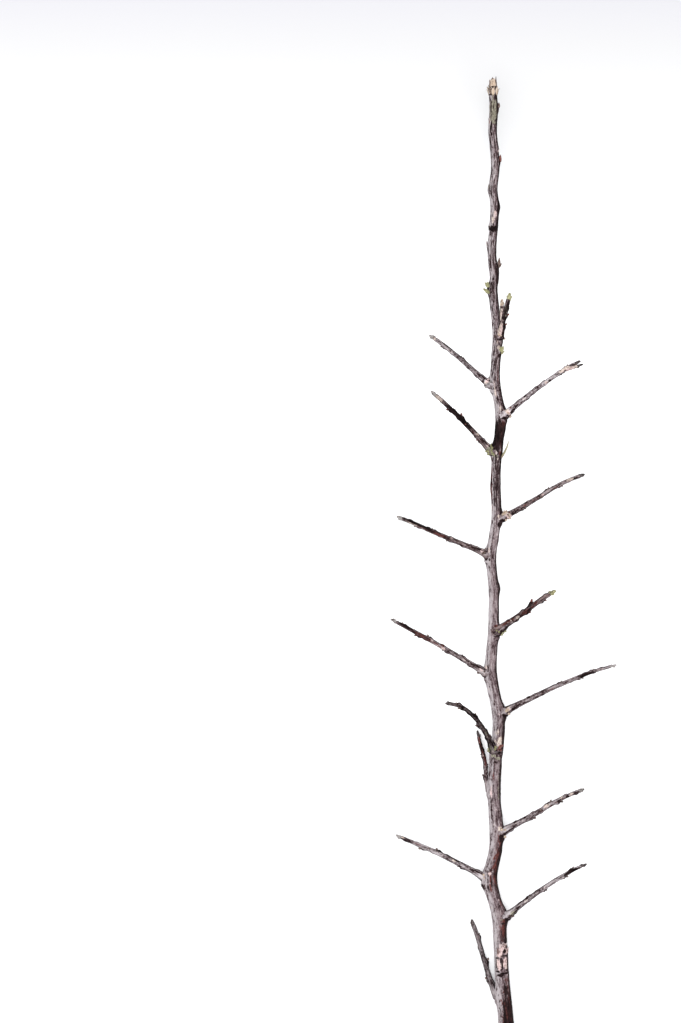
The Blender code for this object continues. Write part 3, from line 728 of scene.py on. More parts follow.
@dataclass
class MeshParts:
    """Surfaces gathered into one mesh, with a grain vector and four marks at each point.

    Attributes:
        points: blocks of points in mm in the design frame.
        grain: blocks of grain vectors, in mm.
        marks: blocks of marks, four channels each.
        quads: blocks of four-sided faces.
        triangles: blocks of three-sided faces.
        count: how many points there are so far.
    """

    points: list[Array] = field(default_factory=list)
    grain: list[Array] = field(default_factory=list)
    marks: list[Array] = field(default_factory=list)
    quads: list[Array] = field(default_factory=list)
    triangles: list[Array] = field(default_factory=list)
    count: int = 0

    def add_tube(self, skin: Array, grain: Array, marks: Array, start: Array, end: Array) -> None:
        """Adds a closed tube: a grid of rings and sides, with each end closed by a fan to its middle point.

        Args:
            skin: points, shape (rings, sides, 3), turning clockwise as seen from behind.
            grain: grain vectors, the same shape.
            marks: marks, shape (rings, sides, 4).
            start: the middle of the first end.
            end: the middle of the last end.
        """
        rings, sides, _ = skin.shape
        index = self.count + np.arange(rings * sides).reshape(rings, sides)
        following = np.roll(index, -1, axis=1)
        quads = np.stack([index[:-1], following[:-1], following[1:], index[1:]], axis=-1).reshape(-1, 4)
        first_middle = self.count + rings * sides
        starts = np.full(sides, first_middle)
        self.quads.append(quads)
        self.triangles.append(np.stack([starts, following[0], index[0]], axis=-1))
        self.triangles.append(np.stack([starts + 1, index[-1], following[-1]], axis=-1))
        self.points.append(np.vstack([skin.reshape(-1, 3), start, end]))
        for kept, values in ((self.grain, grain), (self.marks, marks)):
            ends = [values[0].mean(axis=0), values[-1].mean(axis=0)]
            kept.append(np.vstack([values.reshape(-1, values.shape[-1]), *ends]))
        self.count += rings * sides + 2

    def build(
        self, name: str, material: bpy.types.Material, slot: str, nodes: Sequence[str] = (WOOD_NODE,)
    ) -> bpy.types.Object:
        """Makes the object, parents it to the root body and hides the frame's nodes that it stands for.

        Args:
            name: the piece's name.
            material: its material.
            slot: not used.
            nodes: the frame's nodes that it stands for.

        Returns:
            The finished object, at the origin.
        """
        points = np.vstack(self.points)
        points = np.clip(points - FRAME_ORIGIN, BOX_LOW / MM, BOX_HIGH / MM) * MM
        quads = np.vstack(self.quads)
        triangles = np.vstack(self.triangles)
        mesh = bpy.data.meshes.new(name)
        mesh.vertices.add(len(points))
        mesh.vertices.foreach_set("co", points.astype(np.float32).ravel())
        corners = np.concatenate([quads.ravel(), triangles.ravel()]).astype(np.int32)
        starts = np.concatenate(
            [np.arange(len(quads)) * 4, quads.size + np.arange(len(triangles)) * 3]
        ).astype(np.int32)
        mesh.loops.add(len(corners))
        mesh.loops.foreach_set("vertex_index", corners)
        mesh.polygons.add(len(starts))
        mesh.polygons.foreach_set("loop_start", starts)
        mesh.polygons.foreach_set("use_smooth", np.ones(len(starts), bool))
        mesh.update(calc_edges=True)
        mesh.validate()
        grain = mesh.attributes.new("grain", "FLOAT_VECTOR", "POINT")
        grain.data.foreach_set("vector", np.vstack(self.grain).astype(np.float32).ravel())
        marks = mesh.attributes.new("marks", "FLOAT_COLOR", "POINT")
        marks.data.foreach_set("color", np.clip(np.vstack(self.marks), 0, 1).astype(np.float32).ravel())
        mesh.materials.append(material)
        piece = place_object(name, mesh)
        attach(piece, "root")
        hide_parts(*nodes)
        log.info("%s: %d faces", name, len(mesh.polygons))
        return piece


@dataclass
class BarkTube:
    """A swept wooden surface with relief and marks.

    The skin is the centre line plus, for each heading, the radius times the mix of the up and right sides by
    the heading's cosine and sine.

    Attributes:
        route: the centre line, shape (rings, 3).
        sides: how many sides each ring has.
        radii: the radius at each ring and side.
        length: each ring's distance from the piece's foot, shape (rings, 1).
        seed: which noise it has.
    """

    route: Array
    sides: int
    radii: Array
    length: Array
    seed: int

    def __post_init__(self) -> None:
        """Works out the headings, the grain vectors and empty marks."""
        self.heading = headings(self.sides)
        turn = np.radians(self.heading)
        self.mean_radius = float(self.radii.mean())
        flat = np.ones_like(self.length) * self.mean_radius
        self.grain = np.stack([flat * np.cos(turn), flat * np.sin(turn), self.length + 0 * turn], axis=-1)
        self.marks = np.zeros((*self.radii.shape, 4))

    def noise(self, across: float, along: float, layers: int = 2) -> Array:
        """Noise over the surface, with features of the given sizes in mm across and along the grain."""
        self.seed += 7
        return layered_noise(self.grain / np.array([across, across, along]), self.seed, layers)

    def off(self, around: float) -> Array:
        """Each side's signed angle from a heading, in degrees."""
        return angle_between(self.heading, around)

    def radius_at(self, ring: int, around: float) -> float:
        """The radius at a ring and a heading."""
        return float(self.radii[ring, int(round((around % 360) / 360 * self.sides)) % self.sides])

    def stain(self, kind: Stain, share: Array) -> None:
        """Lays a stain on the surface wherever it is stronger than what is there; the dark channel also takes
        painted shade.
        """
        self.marks[..., kind.value] = np.maximum(self.marks[..., kind.value], share)

    def swell(self, along: float, around: float, height: float, reach: float, spread: float = 40) -> None:
        """Adds a smooth swelling, a bell along and round the piece."""
        self.radii = self.radii + height * bell(self.length - along, reach) * bell(self.off(around), spread)

    def ring(self, along: float, count: int, height: float, spacing: float = 0.75) -> None:
        """Adds narrow uneven ridges right round the piece, one spacing apart and centred on a place."""
        wave = 0.35 * self.noise(2.5, 3.0)
        for number in range(count):
            place = along + (number - (count - 1) / 2) * spacing
            ridge = bell(self.length + wave - place, 0.28 * spacing)
            self.radii = self.radii + height * ridge * (0.75 + 0.5 * self.noise(2.0, 2.0))

    def leaf_scar(self, along: float, around: float, size: float) -> None:
        """Adds a leaf scar: a shelf that rises slowly and ends at a step, with a dark line over it."""
        past = self.length - along
        slope = soft_step(past, -2.6 * size, -0.1) * (1 - soft_step(past, 0.0, 0.5 * size))
        spread = bell(self.off(around), SCAR_SPREAD)
        self.radii = self.radii + SCAR_HEIGHT * size * slope * spread
        self.stain(Stain.DARK, 0.9 * (bell(past - 0.45 * size, 0.35 * size) * spread))
        self.stain(Stain.PALE, 0.45 * (bell(past + 0.5 * size, 0.5 * size) * spread))

    def apply(self, mark: Mark) -> None:
        """Adds one mark: full inside its ellipse, nothing outside, with an edge torn by noise."""
        off_along = (self.length - mark.along) / (mark.length / 2)
        off_around = np.radians(self.off(mark.around)) * self.mean_radius / (mark.width / 2)
        distance = np.sqrt(off_along**2 + off_around**2)
        torn = distance + 0.45 * self.noise(0.6, 2.0)
        self.stain(mark.stain, mark.strength * (1 - soft_step(torn, 0.55, 1.15)))
        if mark.rise:
            self.radii = self.radii + mark.rise * (1 - soft_step(distance, 0.35, 1.1))

    def shade_side(self, around: float, strength: float, spread: float = 48.0) -> None:
        """Darkens one whole side of the piece with painted shade, in a band that wanders with noise."""
        off = np.abs(self.off(around)) + 26 * self.noise(1.6, 9.0)
        self.stain(Stain.DARK, strength * (1 - soft_step(off, 0.4 * spread, spread)))

    def knobs(self, spacing: float, height: float) -> None:
        """Adds uneven knobs on alternate sides, each with painted shade in the crease over it."""
        draw = np.random.default_rng(self.seed + 57)
        place = 3.0 + spacing * float(draw.uniform(0, 0.6))
        side = 90.0
        while place < self.length.max() - 1.5:
            size = float(draw.uniform(0.45, 1.0))
            around = side + float(draw.uniform(-28, 28))
            self.swell(place, around, height * size, 0.6 + 0.7 * size, 46)
            self.swell(place + 1.5 * size + 0.3, around, -0.45 * height * size, 0.5, 40)
            # Painted shade in the groove just past the knob.
            crease_shade = bell(self.length - place - 1.2 * size - 0.3, 0.42) * bell(self.off(around), 50)
            self.stain(Stain.DARK, float(draw.uniform(0.5, 1.0)) * crease_shade)
            place += spacing * float(draw.uniform(0.55, 1.4))
            side = -side

    def lenticels(self, count: int, height: float = 0.06) -> None:
        """Scatters small pale blisters, each a bell that reaches 0.38 mm along and 0.24 mm round."""
        draw = np.random.default_rng(self.seed + 101)
        places = draw.uniform(self.length.min(), self.length.max(), count)
        turns = draw.uniform(0, 360, count)
        for place, turn in zip(places, turns):
            near = np.abs(self.length[:, 0] - place) < 1.5
            arc = np.radians(self.off(turn)) * self.mean_radius
            blister = np.exp(-(((self.length[near] - place) / 0.38) ** 2) - (arc / 0.24) ** 2)
            self.radii[near] += height * blister
            pale = self.marks[near, :, Stain.PALE.value]
            self.marks[near, :, Stain.PALE.value] = np.maximum(pale, 0.55 * blister)

    def weather(self, amount: float) -> None:
        """Gives the surface the long low ridges and fine wrinkles of bark."""
        self.radii = self.radii + amount * (
            0.17 * self.noise(1.7, 12.0) + 0.12 * self.noise(0.8, 4.0) + 0.06 * self.noise(0.4, 0.9)
        )

    def add_to(self, parts: MeshParts, start_bulge: float, end_bulge: float) -> None:
        """Sweeps the surface and adds it to a mesh, its end middles pushed out by the bulges."""
        forward, up, right = frames_along(self.route)
        turn = np.radians(self.heading)[..., None]
        outward = up[:, None, :] * np.cos(turn) + right[:, None, :] * np.sin(turn)
        skin = self.route[:, None, :] + outward * self.radii[..., None]
        start = self.route[0] - forward[0] * start_bulge
        end = self.route[-1] + forward[-1] * end_bulge
        parts.add_tube(skin, self.grain, self.marks, start, end)


# ---- the stem
@dataclass
class Stem:
    """The twig's stem, from its cut end to its tip.

    Attributes:
        rings: how many rings the surface has.
        sides: how many sides each ring has.
    """

    rings: int = 1480
    sides: int = 52

    def __post_init__(self) -> None:
        """Lays out the centre line."""
        self.route = smooth_route(STEM_ROUTE, self.rings)
        self.forward, self.up, self.right = frames_along(self.route)

    def centre(self, along: float) -> Array:
        """The point on the centre line at a distance along the twig."""
        across = np.interp(along, self.route[:, 1], self.route[:, 0])
        up = np.interp(along, self.route[:, 1], self.route[:, 2])
        return np.array([across, along, up])

    def ring_at(self, along: float) -> int:
        """The ring nearest to a distance along the twig."""
        return int(np.argmin(np.abs(self.route[:, 1] - along)))

    def axes(self, along: float) -> tuple[Array, Array, Array]:
        """The forward, up and right directions at a distance along the twig."""
        ring = self.ring_at(along)
        return self.forward[ring], self.up[ring], self.right[ring]

    def heading_of(self, shoot: ShootDesign) -> float:
        """Which way round the stem a shoot leaves it, in degrees."""
        across, base = shoot.route[0]
        return math.degrees(math.atan2(across - self.centre(base)[0], shoot.base_up))

    def shaped(self) -> BarkTube:
        """The stem's surface with its swellings, scars, rings, stains and painted shade."""
        along = self.route[:, 1:2]
        radii = np.repeat(np.interp(along, *zip(*STEM_TAPER)), self.sides, axis=1)
        tube = BarkTube(self.route, self.sides, radii, along, STEM_SEED)
        for shoot in SHOOTS:
            base = shoot.route[0][1]
            towards = self.heading_of(shoot)
            tube.swell(base - 1.0, towards, height=0.8, reach=4.2, spread=65)  # the collar
            tube.swell(base - 3.6, towards, height=0.55, reach=1.3, spread=34)  # the old leaf's shelf
            tube.swell(base + 1.6, towards, height=0.45, reach=2.4, spread=30)  # the ridge in the fork
            # Painted shade under the old leaf's shelf below each shoot's foot.
            shade = bell(tube.length - base + 4.9, 0.7) * bell(tube.off(towards), 45)
            tube.stain(Stain.DARK, 0.6 * shade)
        for cushion in STEM_CUSHIONS:
            tube.swell(*cushion)
        for ring in STEM_RINGS:
            tube.ring(*ring)
        for mark in STEM_MARKS:
            tube.apply(mark)
        # Painted shade on the right side, away from the key light, where it also stands for the bark's darker
        # colour.
        tube.shade_side(88, strength=0.95, spread=62)
        tube.lenticels(230)
        tube.weather(1.0)
        tube.radii[-1] *= 0.72
        return tube

    def seat(self, tube: BarkTube, along: float, around: float, lift: float) -> tuple[Array, Array, Array]:
        """A place on the stem's bark.

        Args:
            tube: the stem's surface.
            along: how far it is from the cut end.
            around: its heading round the stem in degrees.
            lift: how far it stands off the bark, in mm.

        Returns:
            The point, the stem's direction there and the way out from the stem.
        """
        ring = self.ring_at(along)
        outward = outward_at(self.up[ring], self.right[ring], around)
        height = tube.radius_at(ring, around) + lift
        return self.centre(along) + outward * height, self.forward[ring], outward


# ---- the shoots
@dataclass
class SideShoot:
    """A side shoot's surface and its small buds.

    Attributes:
        design: the shoot's design.
        stem: the stem that it grows on.
        rings: how many rings the surface has.
        sides: how many sides each ring has.
    """

    design: ShootDesign
    stem: Stem
    rings: int = 230
    sides: int = 28

    def __post_init__(self) -> None:
        """Lays out the centre line, from inside the stem to the wood's end, and shapes the surface."""
        plan = np.array(self.design.route, float)
        gone = lengths_along(plan)
        share = gone / gone[-1]
        base = self.stem.centre(self.design.route[0][1])
        base_up = base[2] + self.design.base_up
        up = base_up + (self.design.tip_up - base_up) * share + self.design.arch * np.sin(np.pi * share)
        sink = self.stem.centre(self.design.route[0][1] - ROOT_SINK)
        root = sink + np.array([0, 0, 0.4 * self.design.base_up])
        self.route = smooth_route(np.vstack([root, np.column_stack([plan, up])]), self.rings, TIP_BUD_REACH)
        foot = np.array([plan[0, 0], plan[0, 1], base_up])
        self.buried = float(np.linalg.norm(foot - root))
        self.tube = self.shaped()

    def shaped(self) -> BarkTube:
        """The shoot's surface with its collar, rings, leaf scars, stains and painted shade."""
        design = self.design
        from_root = lengths_along(self.route)[:, None]
        whole = float(from_root[-1, 0])
        length = from_root - self.buried
        taper = design.radius + (design.tip_radius - design.radius) * (from_root / whole) ** 0.9
        collar = 1 + 0.32 * bell(from_root - 3.0, 4.5)
        flare = 0.75 * np.exp(-np.clip(length + 0.4, 0, None) / 0.8)
        radii = np.repeat(taper * collar + flare, self.sides, axis=1)
        seed = SHOOT_SEED + 13 * SHOOTS.index(design)
        tube = BarkTube(self.route, self.sides, radii, length, seed)
        draw = np.random.default_rng(seed)
        for cushion in design.cushions:
            place = cushion.share * whole - self.buried
            tube.swell(place - 0.3, cushion.around, 0.32 * cushion.size, 1.9)
            tube.leaf_scar(place, cushion.around, cushion.size)
            tube.ring(place + 0.4, 1, 0.05)
        tube.ring(2.6, count=4, height=0.11, spacing=0.62)
        tube.ring(float(draw.uniform(0.55, 0.7)) * whole, count=3, height=0.07, spacing=0.6)
        tube.ring(whole - self.buried - 1.4, count=3, height=0.08, spacing=0.6)
        for mark in design.marks:
            tube.apply(mark)
        # Painted shade along both edges, where the shoot turns away from the light.
        tube.shade_side(92, strength=0.95, spread=50)
        tube.shade_side(-92, strength=0.90, spread=48)
        tube.knobs(spacing=7.0 / design.knobbly, height=0.34 * design.knobbly)
        tube.lenticels(26, height=0.045)
        tube.weather(0.72)
        tube.radii[0] *= 0.6
        tube.radii[-1] *= 0.86
        return tube

    def build(self, material: bpy.types.Material) -> bpy.types.Object:
        """Makes the shoot's wood."""
        parts = MeshParts()
        self.tube.add_to(parts, 0.0, TIP_BULGE)
        return parts.build(self.design.name, material, "bark")

    def bud_seats(self) -> Iterable[tuple[Array, Array, float]]:
        """Yields the seat, direction and size of the small bud over each leaf scar."""
        forward, up, right = frames_along(self.route)
        for cushion in self.design.cushions:
            ring = int(round(cushion.share * (self.rings - 1)))
            outward = outward_at(up[ring], right[ring], cushion.around)
            ring = min(ring + 3, self.rings - 1)
            seat = self.route[ring] + outward * (self.tube.radius_at(ring, cushion.around) - 0.35)
            yield seat, forward[ring] * 0.8 + outward * 0.6, cushion.size


@dataclass
class Prong:
    """A short prong that forks off a shoot.

    Attributes:
        design: the prong's design.
        parent: the shoot that it forks off.
        rings: how many rings the surface has.
        sides: how many sides each ring has.
    """

    design: ProngDesign
    parent: SideShoot
    rings: int = 40
    sides: int = 22

    def __post_init__(self) -> None:
        """Lays out the centre line from inside its parent."""
        root = self.parent.route[int(round(self.design.fraction * (self.parent.rings - 1)))]
        plan = np.array(self.design.route, float)
        share = np.linspace(0, 1, len(plan) + 1)[1:]
        up = root[2] + (self.design.tip_up - root[2]) * share
        self.route = smooth_route(np.vstack([root, np.column_stack([plan, up])]), self.rings, TIP_BUD_REACH)

    def build(self, material: bpy.types.Material) -> bpy.types.Object:
        """Makes the prong's wood."""
        length = lengths_along(self.route)[:, None]
        reach = float(length[-1, 0])
        taper = np.linspace(self.design.radius, self.design.tip_radius, self.rings)[:, None]
        seed = PRONG_SEED + 13 * PRONGS.index(self.design)
        tube = BarkTube(self.route, self.sides, np.repeat(taper, self.sides, axis=1), length, seed)
        tube.ring(reach * 0.7, count=3, height=0.08, spacing=0.5)
        tube.apply(Mark(0.6 * reach, 10, 0.9 * reach, 3.6, Stain.PALE, 0.9))
        tube.apply(Mark(0.7 * reach, -60, 0.5 * reach, 1.2, Stain.OLIVE, 0.9))
        tube.weather(0.5)
        tube.radii[0] *= 0.7
        parts = MeshParts()
        tube.add_to(parts, 0.0, TIP_BULGE)
        return parts.build(self.design.name, material, "bark")


# ---- the buds
@dataclass
class Bud:
    """An ovoid bud with overlapping scales.

    Its outline is the sine of pi times the share of its length to the 0.8th power, raised to its fullness.
    Each scale covers the bud up to an edge that is highest in the scale's middle and falls away with the
    square of the angle from it, and adds its own thickness, so that the edges stand out like shingles.

    Attributes:
        seat: where the bud starts.
        heading: the way that it points.
        length: its length.
        width: its width.
        seed: which scales it has.
        scales: how many scales it has.
        rings: how many rings the surface has.
        sides: how many sides each ring has.
        point: how sharp its tip is.
        fullness: how pointed its two ends are, smaller for blunter ones.
    """

    seat: Array
    heading: Array
    length: float
    width: float
    seed: int
    scales: int = 7
    rings: int = 30
    sides: int = 30
    point: float = 1.0
    fullness: float = 0.75

    def add_to(self, parts: MeshParts) -> None:
        """Adds the bud to a mesh. Its marks hold the scale's edge, its height and its own shade."""
        heading = unit(self.heading)
        helper = SKYWARD if abs(heading[2]) < 0.9 else np.array([1.0, 0.0, 0.0])
        right = unit(np.cross(heading, helper))
        up = np.cross(right, heading)
        draw = np.random.default_rng(self.seed)
        share = np.linspace(0.03, 0.985, self.rings)[:, None]
        degrees = headings(self.sides)
        outline = np.sin(np.pi * share**0.8) ** self.fullness * (1 - 0.25 * self.point * share)
        outline = outline / outline.max()
        cover = np.zeros((self.rings, self.sides))
        edge = np.zeros_like(cover)
        shade = np.full_like(cover, 0.5)
        start = float(draw.uniform(0, 360))
        for number in range(self.scales):
            top = 0.30 + 0.72 * number / self.scales
            off = angle_between(degrees, start + number * GOLDEN_TURN)
            rim = top - SCALE_FALL * (off / SCALE_SPREAD) ** 2
            covered = 1 - soft_step(share, rim - 0.012, rim + 0.035)
            cover += covered
            edge = np.maximum(edge, bell(share - rim, 0.05))
            shade = np.where(covered > 0.5, float(draw.uniform(0.1, 0.9)), shade)
        radii = outline * self.width / 2 * (0.80 + 0.20 * cover / self.scales)
        turn = np.radians(degrees)[..., None]
        bend = 0.10 * self.length * (share**2)[..., None] * up * float(draw.uniform(-1, 1))
        middle = self.seat + heading * (share * self.length)[..., None] + bend
        skin = middle + (up * np.cos(turn) + right * np.sin(turn)) * radii[..., None]
        grain = skin - self.seat + self.seed * 3.1
        marks = np.stack([edge, share + 0 * degrees, shade, np.ones_like(edge)], axis=-1)
        parts.add_tube(skin, grain, marks, self.seat, middle[-1, 0] + heading * 0.015 * self.length)


@dataclass(frozen=True)
class ScalePlate:
    """A loose bud scale or flake of bark: a thin curled plate that narrows to its end.

    Attributes:
        seat: the middle of its foot.
        heading: the way that it points.
        outward: the way that its back faces.
        length: its length.
        width: its widest.
        curl: how far its end bends outward, in mm.
        thickness: its thickness at the foot.
        seed: which noise it has.
        narrow: how much of its width it loses by its end.
        rings: how many rings the surface has.
        sides: how many sides each ring has.
    """

    seat: Array
    heading: Array
    outward: Array
    length: float
    width: float
    curl: float
    thickness: float = 0.22
    seed: int = 0
    narrow: float = 0.85
    rings: int = 16
    sides: int = 14

    def add_to(self, parts: MeshParts) -> None:
        """Adds the plate: flattened rings whose middle bends outward with the square of the length gone."""
        heading = unit(self.heading)
        outward = unit(self.outward - heading * float(self.outward @ heading))
        aside = np.cross(heading, outward)
        share = np.linspace(0, 1, self.rings)[:, None]
        turn = np.radians(headings(self.sides))
        flat = np.ones((self.rings, self.sides))
        half = self.width / 2 * (0.55 + 0.9 * share * (1 - share) * 2) * (1 - self.narrow * share**3)
        thick = self.thickness * (1 - 0.55 * share)
        cup = 0.5 * half * np.sin(turn) ** 2
        places = np.stack([share * 4 * flat, np.cos(turn) * flat, self.seed * flat], axis=-1)
        ragged = 1 + 0.25 * layered_noise(places, self.seed)
        middle = self.seat + heading * (share * self.length)[..., None]
        middle = middle + outward * (self.curl * share**2 - cup)[..., None]
        skin = middle + outward * (np.cos(turn) * thick)[..., None]
        skin = skin + aside * (np.sin(turn) * half * ragged)[..., None]
        grain = skin - self.seat + self.seed * 2.3
        tone = 0.618 * self.seed % 1.0
        marks = np.stack([np.abs(np.sin(turn)) ** 6 * flat, share * flat, tone * flat, flat], axis=-1)
        parts.add_tube(skin, grain, marks, skin[0].mean(axis=0), skin[-1].mean(axis=0))


@dataclass
class BudMaker:
    """Places the buds on the stem and the shoots.

    Attributes:
        stem: the stem.
        tube: the stem's surface.
        finishes: the material of each palette.
    """

    stem: Stem
    tube: BarkTube
    finishes: dict[Palette, bpy.types.Material]

    def tip_bud(self, name: str, route: Array, tip_radius: float, palette: Palette, seed: int) -> None:
        """Makes the bud that ends a shoot or a prong, its foot hidden in the wood's end."""
        heading = unit(route[-1] - route[-12])
        seat = route[-1] - heading * 0.5
        parts = MeshParts()
        reach, width = TIP_BUD_REACH + 0.5, 2.05 * tip_radius
        Bud(seat, heading, reach, width, seed, scales=8, point=0.1, fullness=0.28).add_to(parts)
        draw = np.random.default_rng(seed)
        for turn in draw.uniform(0, 2 * np.pi, 5):
            side = np.cross(heading, SKYWARD) * math.cos(turn) + SKYWARD * math.sin(turn)
            foot = route[-1] + side * tip_radius * 0.7 + heading * float(draw.uniform(-0.8, 1.2))
            size = float(draw.uniform(0.5, 0.8))
            lean = heading + side * float(draw.uniform(0.1, 0.5))
            width = 1.7 * size * tip_radius
            Bud(
                foot, lean, 2.0 * size, width, seed + 5, scales=4, rings=16, sides=16, fullness=0.4
            ).add_to(parts)
        parts.build(name, self.finishes[palette], "bud", [name])

    def shoot_buds(self, shoot: SideShoot) -> None:
        """Makes the small buds over a shoot's leaf scars, as one piece."""
        parts = MeshParts()
        seed = SIDE_BUD_SEED + 10 * SHOOTS.index(shoot.design)
        for seat, direction, size in shoot.bud_seats():
            seed += 1
            length, width = 1.6 * size, 1.3 * size
            Bud(
                seat, direction, length, width, seed, scales=4, rings=18, sides=18, point=0.4, fullness=0.5
            ).add_to(parts)
        palette = Palette.RED if shoot.design.warmth > 0.6 else Palette.BROWN
        parts.build(shoot.design.name + "_side_buds", self.finishes[palette], "bud")

    def collar_beads(self, shoot: SideShoot) -> None:
        """Makes the bead-like dormant buds round a shoot's foot, most of them on the side seen from above."""
        if not shoot.design.beads:
            return
        parts = MeshParts()
        seed = BEAD_SEED + 10 * SHOOTS.index(shoot.design)
        draw = np.random.default_rng(seed)
        forward, up, right = frames_along(shoot.route)
        for number in range(shoot.design.beads):
            place = float(draw.uniform(-0.9, 1.9))
            ring = int(np.argmin(np.abs(shoot.tube.length[:, 0] - place)))
            around = float(draw.uniform(-115, 115))
            outward = outward_at(up[ring], right[ring], around)
            size = float(draw.uniform(1.0, 1.6))
            seat = shoot.route[ring] + outward * (shoot.tube.radius_at(ring, around) - 0.45 * size)
            lean = outward + forward[ring] * float(draw.uniform(0.2, 0.9))
            length, own = 1.15 * size, seed + number
            Bud(
                seat, lean, length, size, own, scales=3, rings=14, sides=16, point=0.1, fullness=0.4
            ).add_to(parts)
        parts.build(shoot.design.name + "_collar_beads", self.finishes[shoot.design.bead_palette], "bud")

    def seat_on_stem(self, design: StemBudDesign) -> tuple[Array, Array, Array]:
        """Where a stem bud stands: its seat, the way that it points, and the way out from the stem."""
        lift = design.lift * design.width
        seat, forward, outward = self.stem.seat(self.tube, design.along, design.around, lift)
        return seat, outward_at(forward, outward, design.lean), outward

    def stem_bud(self, design: StemBudDesign, seed: int) -> None:
        """Makes a bud on the stem, with any smaller buds that crowd round it."""
        seat, heading, outward = self.seat_on_stem(design)
        aside = np.cross(heading, outward)
        parts = MeshParts()
        foot = seat - heading * 0.4
        Bud(foot, heading, design.length, design.width, seed, point=0.9, fullness=0.6).add_to(parts)
        draw = np.random.default_rng(seed)
        for number in range(design.extras):
            step = (-1) ** number * float(draw.uniform(0.25, 0.75)) * design.width
            foot = seat + aside * step - heading * float(draw.uniform(-1.6, 1.6)) - outward * 0.05
            lean = heading + aside * float(np.sign(step)) * 0.4 + outward * float(draw.uniform(-0.1, 0.7))
            size = float(draw.uniform(0.4, 0.65))
            length, width = design.length * size, design.width * size
            Bud(foot, lean, length, width, seed + number, scales=5, rings=20, sides=20).add_to(parts)
        parts.build(design.node, self.finishes[design.palette], "bud", [design.node])

    def apex(self) -> None:
        """Makes the broken bud at the twig's tip: a dark core with three tiers of ragged scales round it."""
        end = self.stem.route[-1]
        forward, up, right = self.stem.axes(490.0)
        core = MeshParts()
        Bud(end - forward * 1.6, forward, 5.9, 3.2, APEX_SEED, scales=8, point=0.6).add_to(core)
        for number, (turn, reach) in enumerate(((72, 5.3), (115, 3.9), (-60, 3.6))):
            aside = outward_at(up, right, turn)
            seat = end + aside * 1.45 - forward * 0.6
            own = APEX_SEED + 5 + number
            Bud(seat, forward + 0.07 * aside, reach, 0.95, own, scales=5, fullness=0.5).add_to(core)
        core.build("apex_bud", self.finishes[Palette.BROWN], "bud", ["apex_bud"])
        for name, first in (("apex_scale_left", 180), ("apex_scale_right", 0)):
            parts = MeshParts()
            draw = np.random.default_rng(first + 3)
            for number in range(12):
                tier = number % 3
                around = first + 180 * (number + 0.5) / 12 + float(draw.uniform(-9, 9))
                outward = outward_at(up, right, around)
                along = -4.6 + 1.8 * tier + float(draw.uniform(-0.6, 0.6))
                seat = end + forward * along + outward * (2.1 - 0.22 * tier)
                heading = forward + outward * (0.18 - 0.10 * tier + float(draw.uniform(-0.08, 0.08)))
                reach = min(float(draw.uniform(2.8, 4.6)), 4.0 - along)
                curl = 0.35 - 0.35 * tier + float(draw.uniform(-0.2, 0.2))
                width = float(draw.uniform(1.3, 2.5))
                own = PLATE_SEED + number
                ScalePlate(seat, heading, outward, reach, width, curl, 0.26, own, narrow=0.6).add_to(parts)
            parts.build(name, self.finishes[Palette.CREAM], "bud", [name])

    def awn(self, design: StemBudDesign, material: bpy.types.Material) -> None:
        """Makes the dry awn: a blade that narrows evenly to a point and bows a little outward."""
        seat, heading, outward = self.seat_on_stem(design)
        rings, sides = 60, 14
        share = np.linspace(0, 1, rings)
        route = seat - outward * 0.5 + heading * (share * design.length * 0.93)[:, None]
        route = route + outward * (0.5 * np.sin(np.pi * share))[:, None]
        taper = design.width / 2 * (1 - share) ** 0.32 * (0.75 + 0.35 * np.sin(np.pi * share**0.6)) + 0.06
        turn = np.radians(headings(sides))
        flat = np.hypot(np.cos(turn), 0.62 * np.sin(turn))
        radii = taper[:, None] * flat * (1 + 0.08 * np.cos(5 * turn))
        tube = BarkTube(route, sides, radii, lengths_along(route)[:, None], AWN_SEED)
        parts = MeshParts()
        tube.add_to(parts, 0.1, 0.2)
        parts.build("awn", material, "bud", ["awn"])


@dataclass
class BarkFlakes:
    """Loose papery flakes where the bark has torn, stood on the stem.

    Attributes:
        stem: the stem.
        tube: the stem's surface.
        places: (along, degrees round, length, width, curl) of each flake.
    """

    stem: Stem
    tube: BarkTube
    places: tuple[tuple[float, ...], ...] = (
        (57, -22, 3.6, 1.5, 0.5), (59.6, -4, 3, 1.4, 0.7), (60.4, 16, 2.8, 1.6, 0.9), (60, 38, 2.8, 1.4, 0.8),
        (58.2, 54, 2.6, 1.2, 0.6), (410, -86, 4.6, 1.1, 0.5), (424.5, -4, 3, 1.1, 0.3),
        (456.4, 58, 2.6, 1, 0.6), (471, -56, 3.4, 1.1, 0.6), (306.8, -12, 2.2, 1.1, 0.6),
        (364.8, 22, 2.6, 1, 0.3), (178.2, 50, 1.6, 1.1, 0.3),
    )

    def build(self, material: bpy.types.Material) -> bpy.types.Object:
        """Makes the flakes as one piece."""
        parts = MeshParts()
        for number, (along, around, length, width, curl) in enumerate(self.places):
            seat, forward, outward = self.stem.seat(self.tube, along, around, -0.12)
            heading = forward + 0.12 * outward
            own = FLAKE_SEED + number
            ScalePlate(seat, heading, outward, length, width, curl, 0.16, own).add_to(parts)
        return parts.build("bark_flakes", material, "bark")


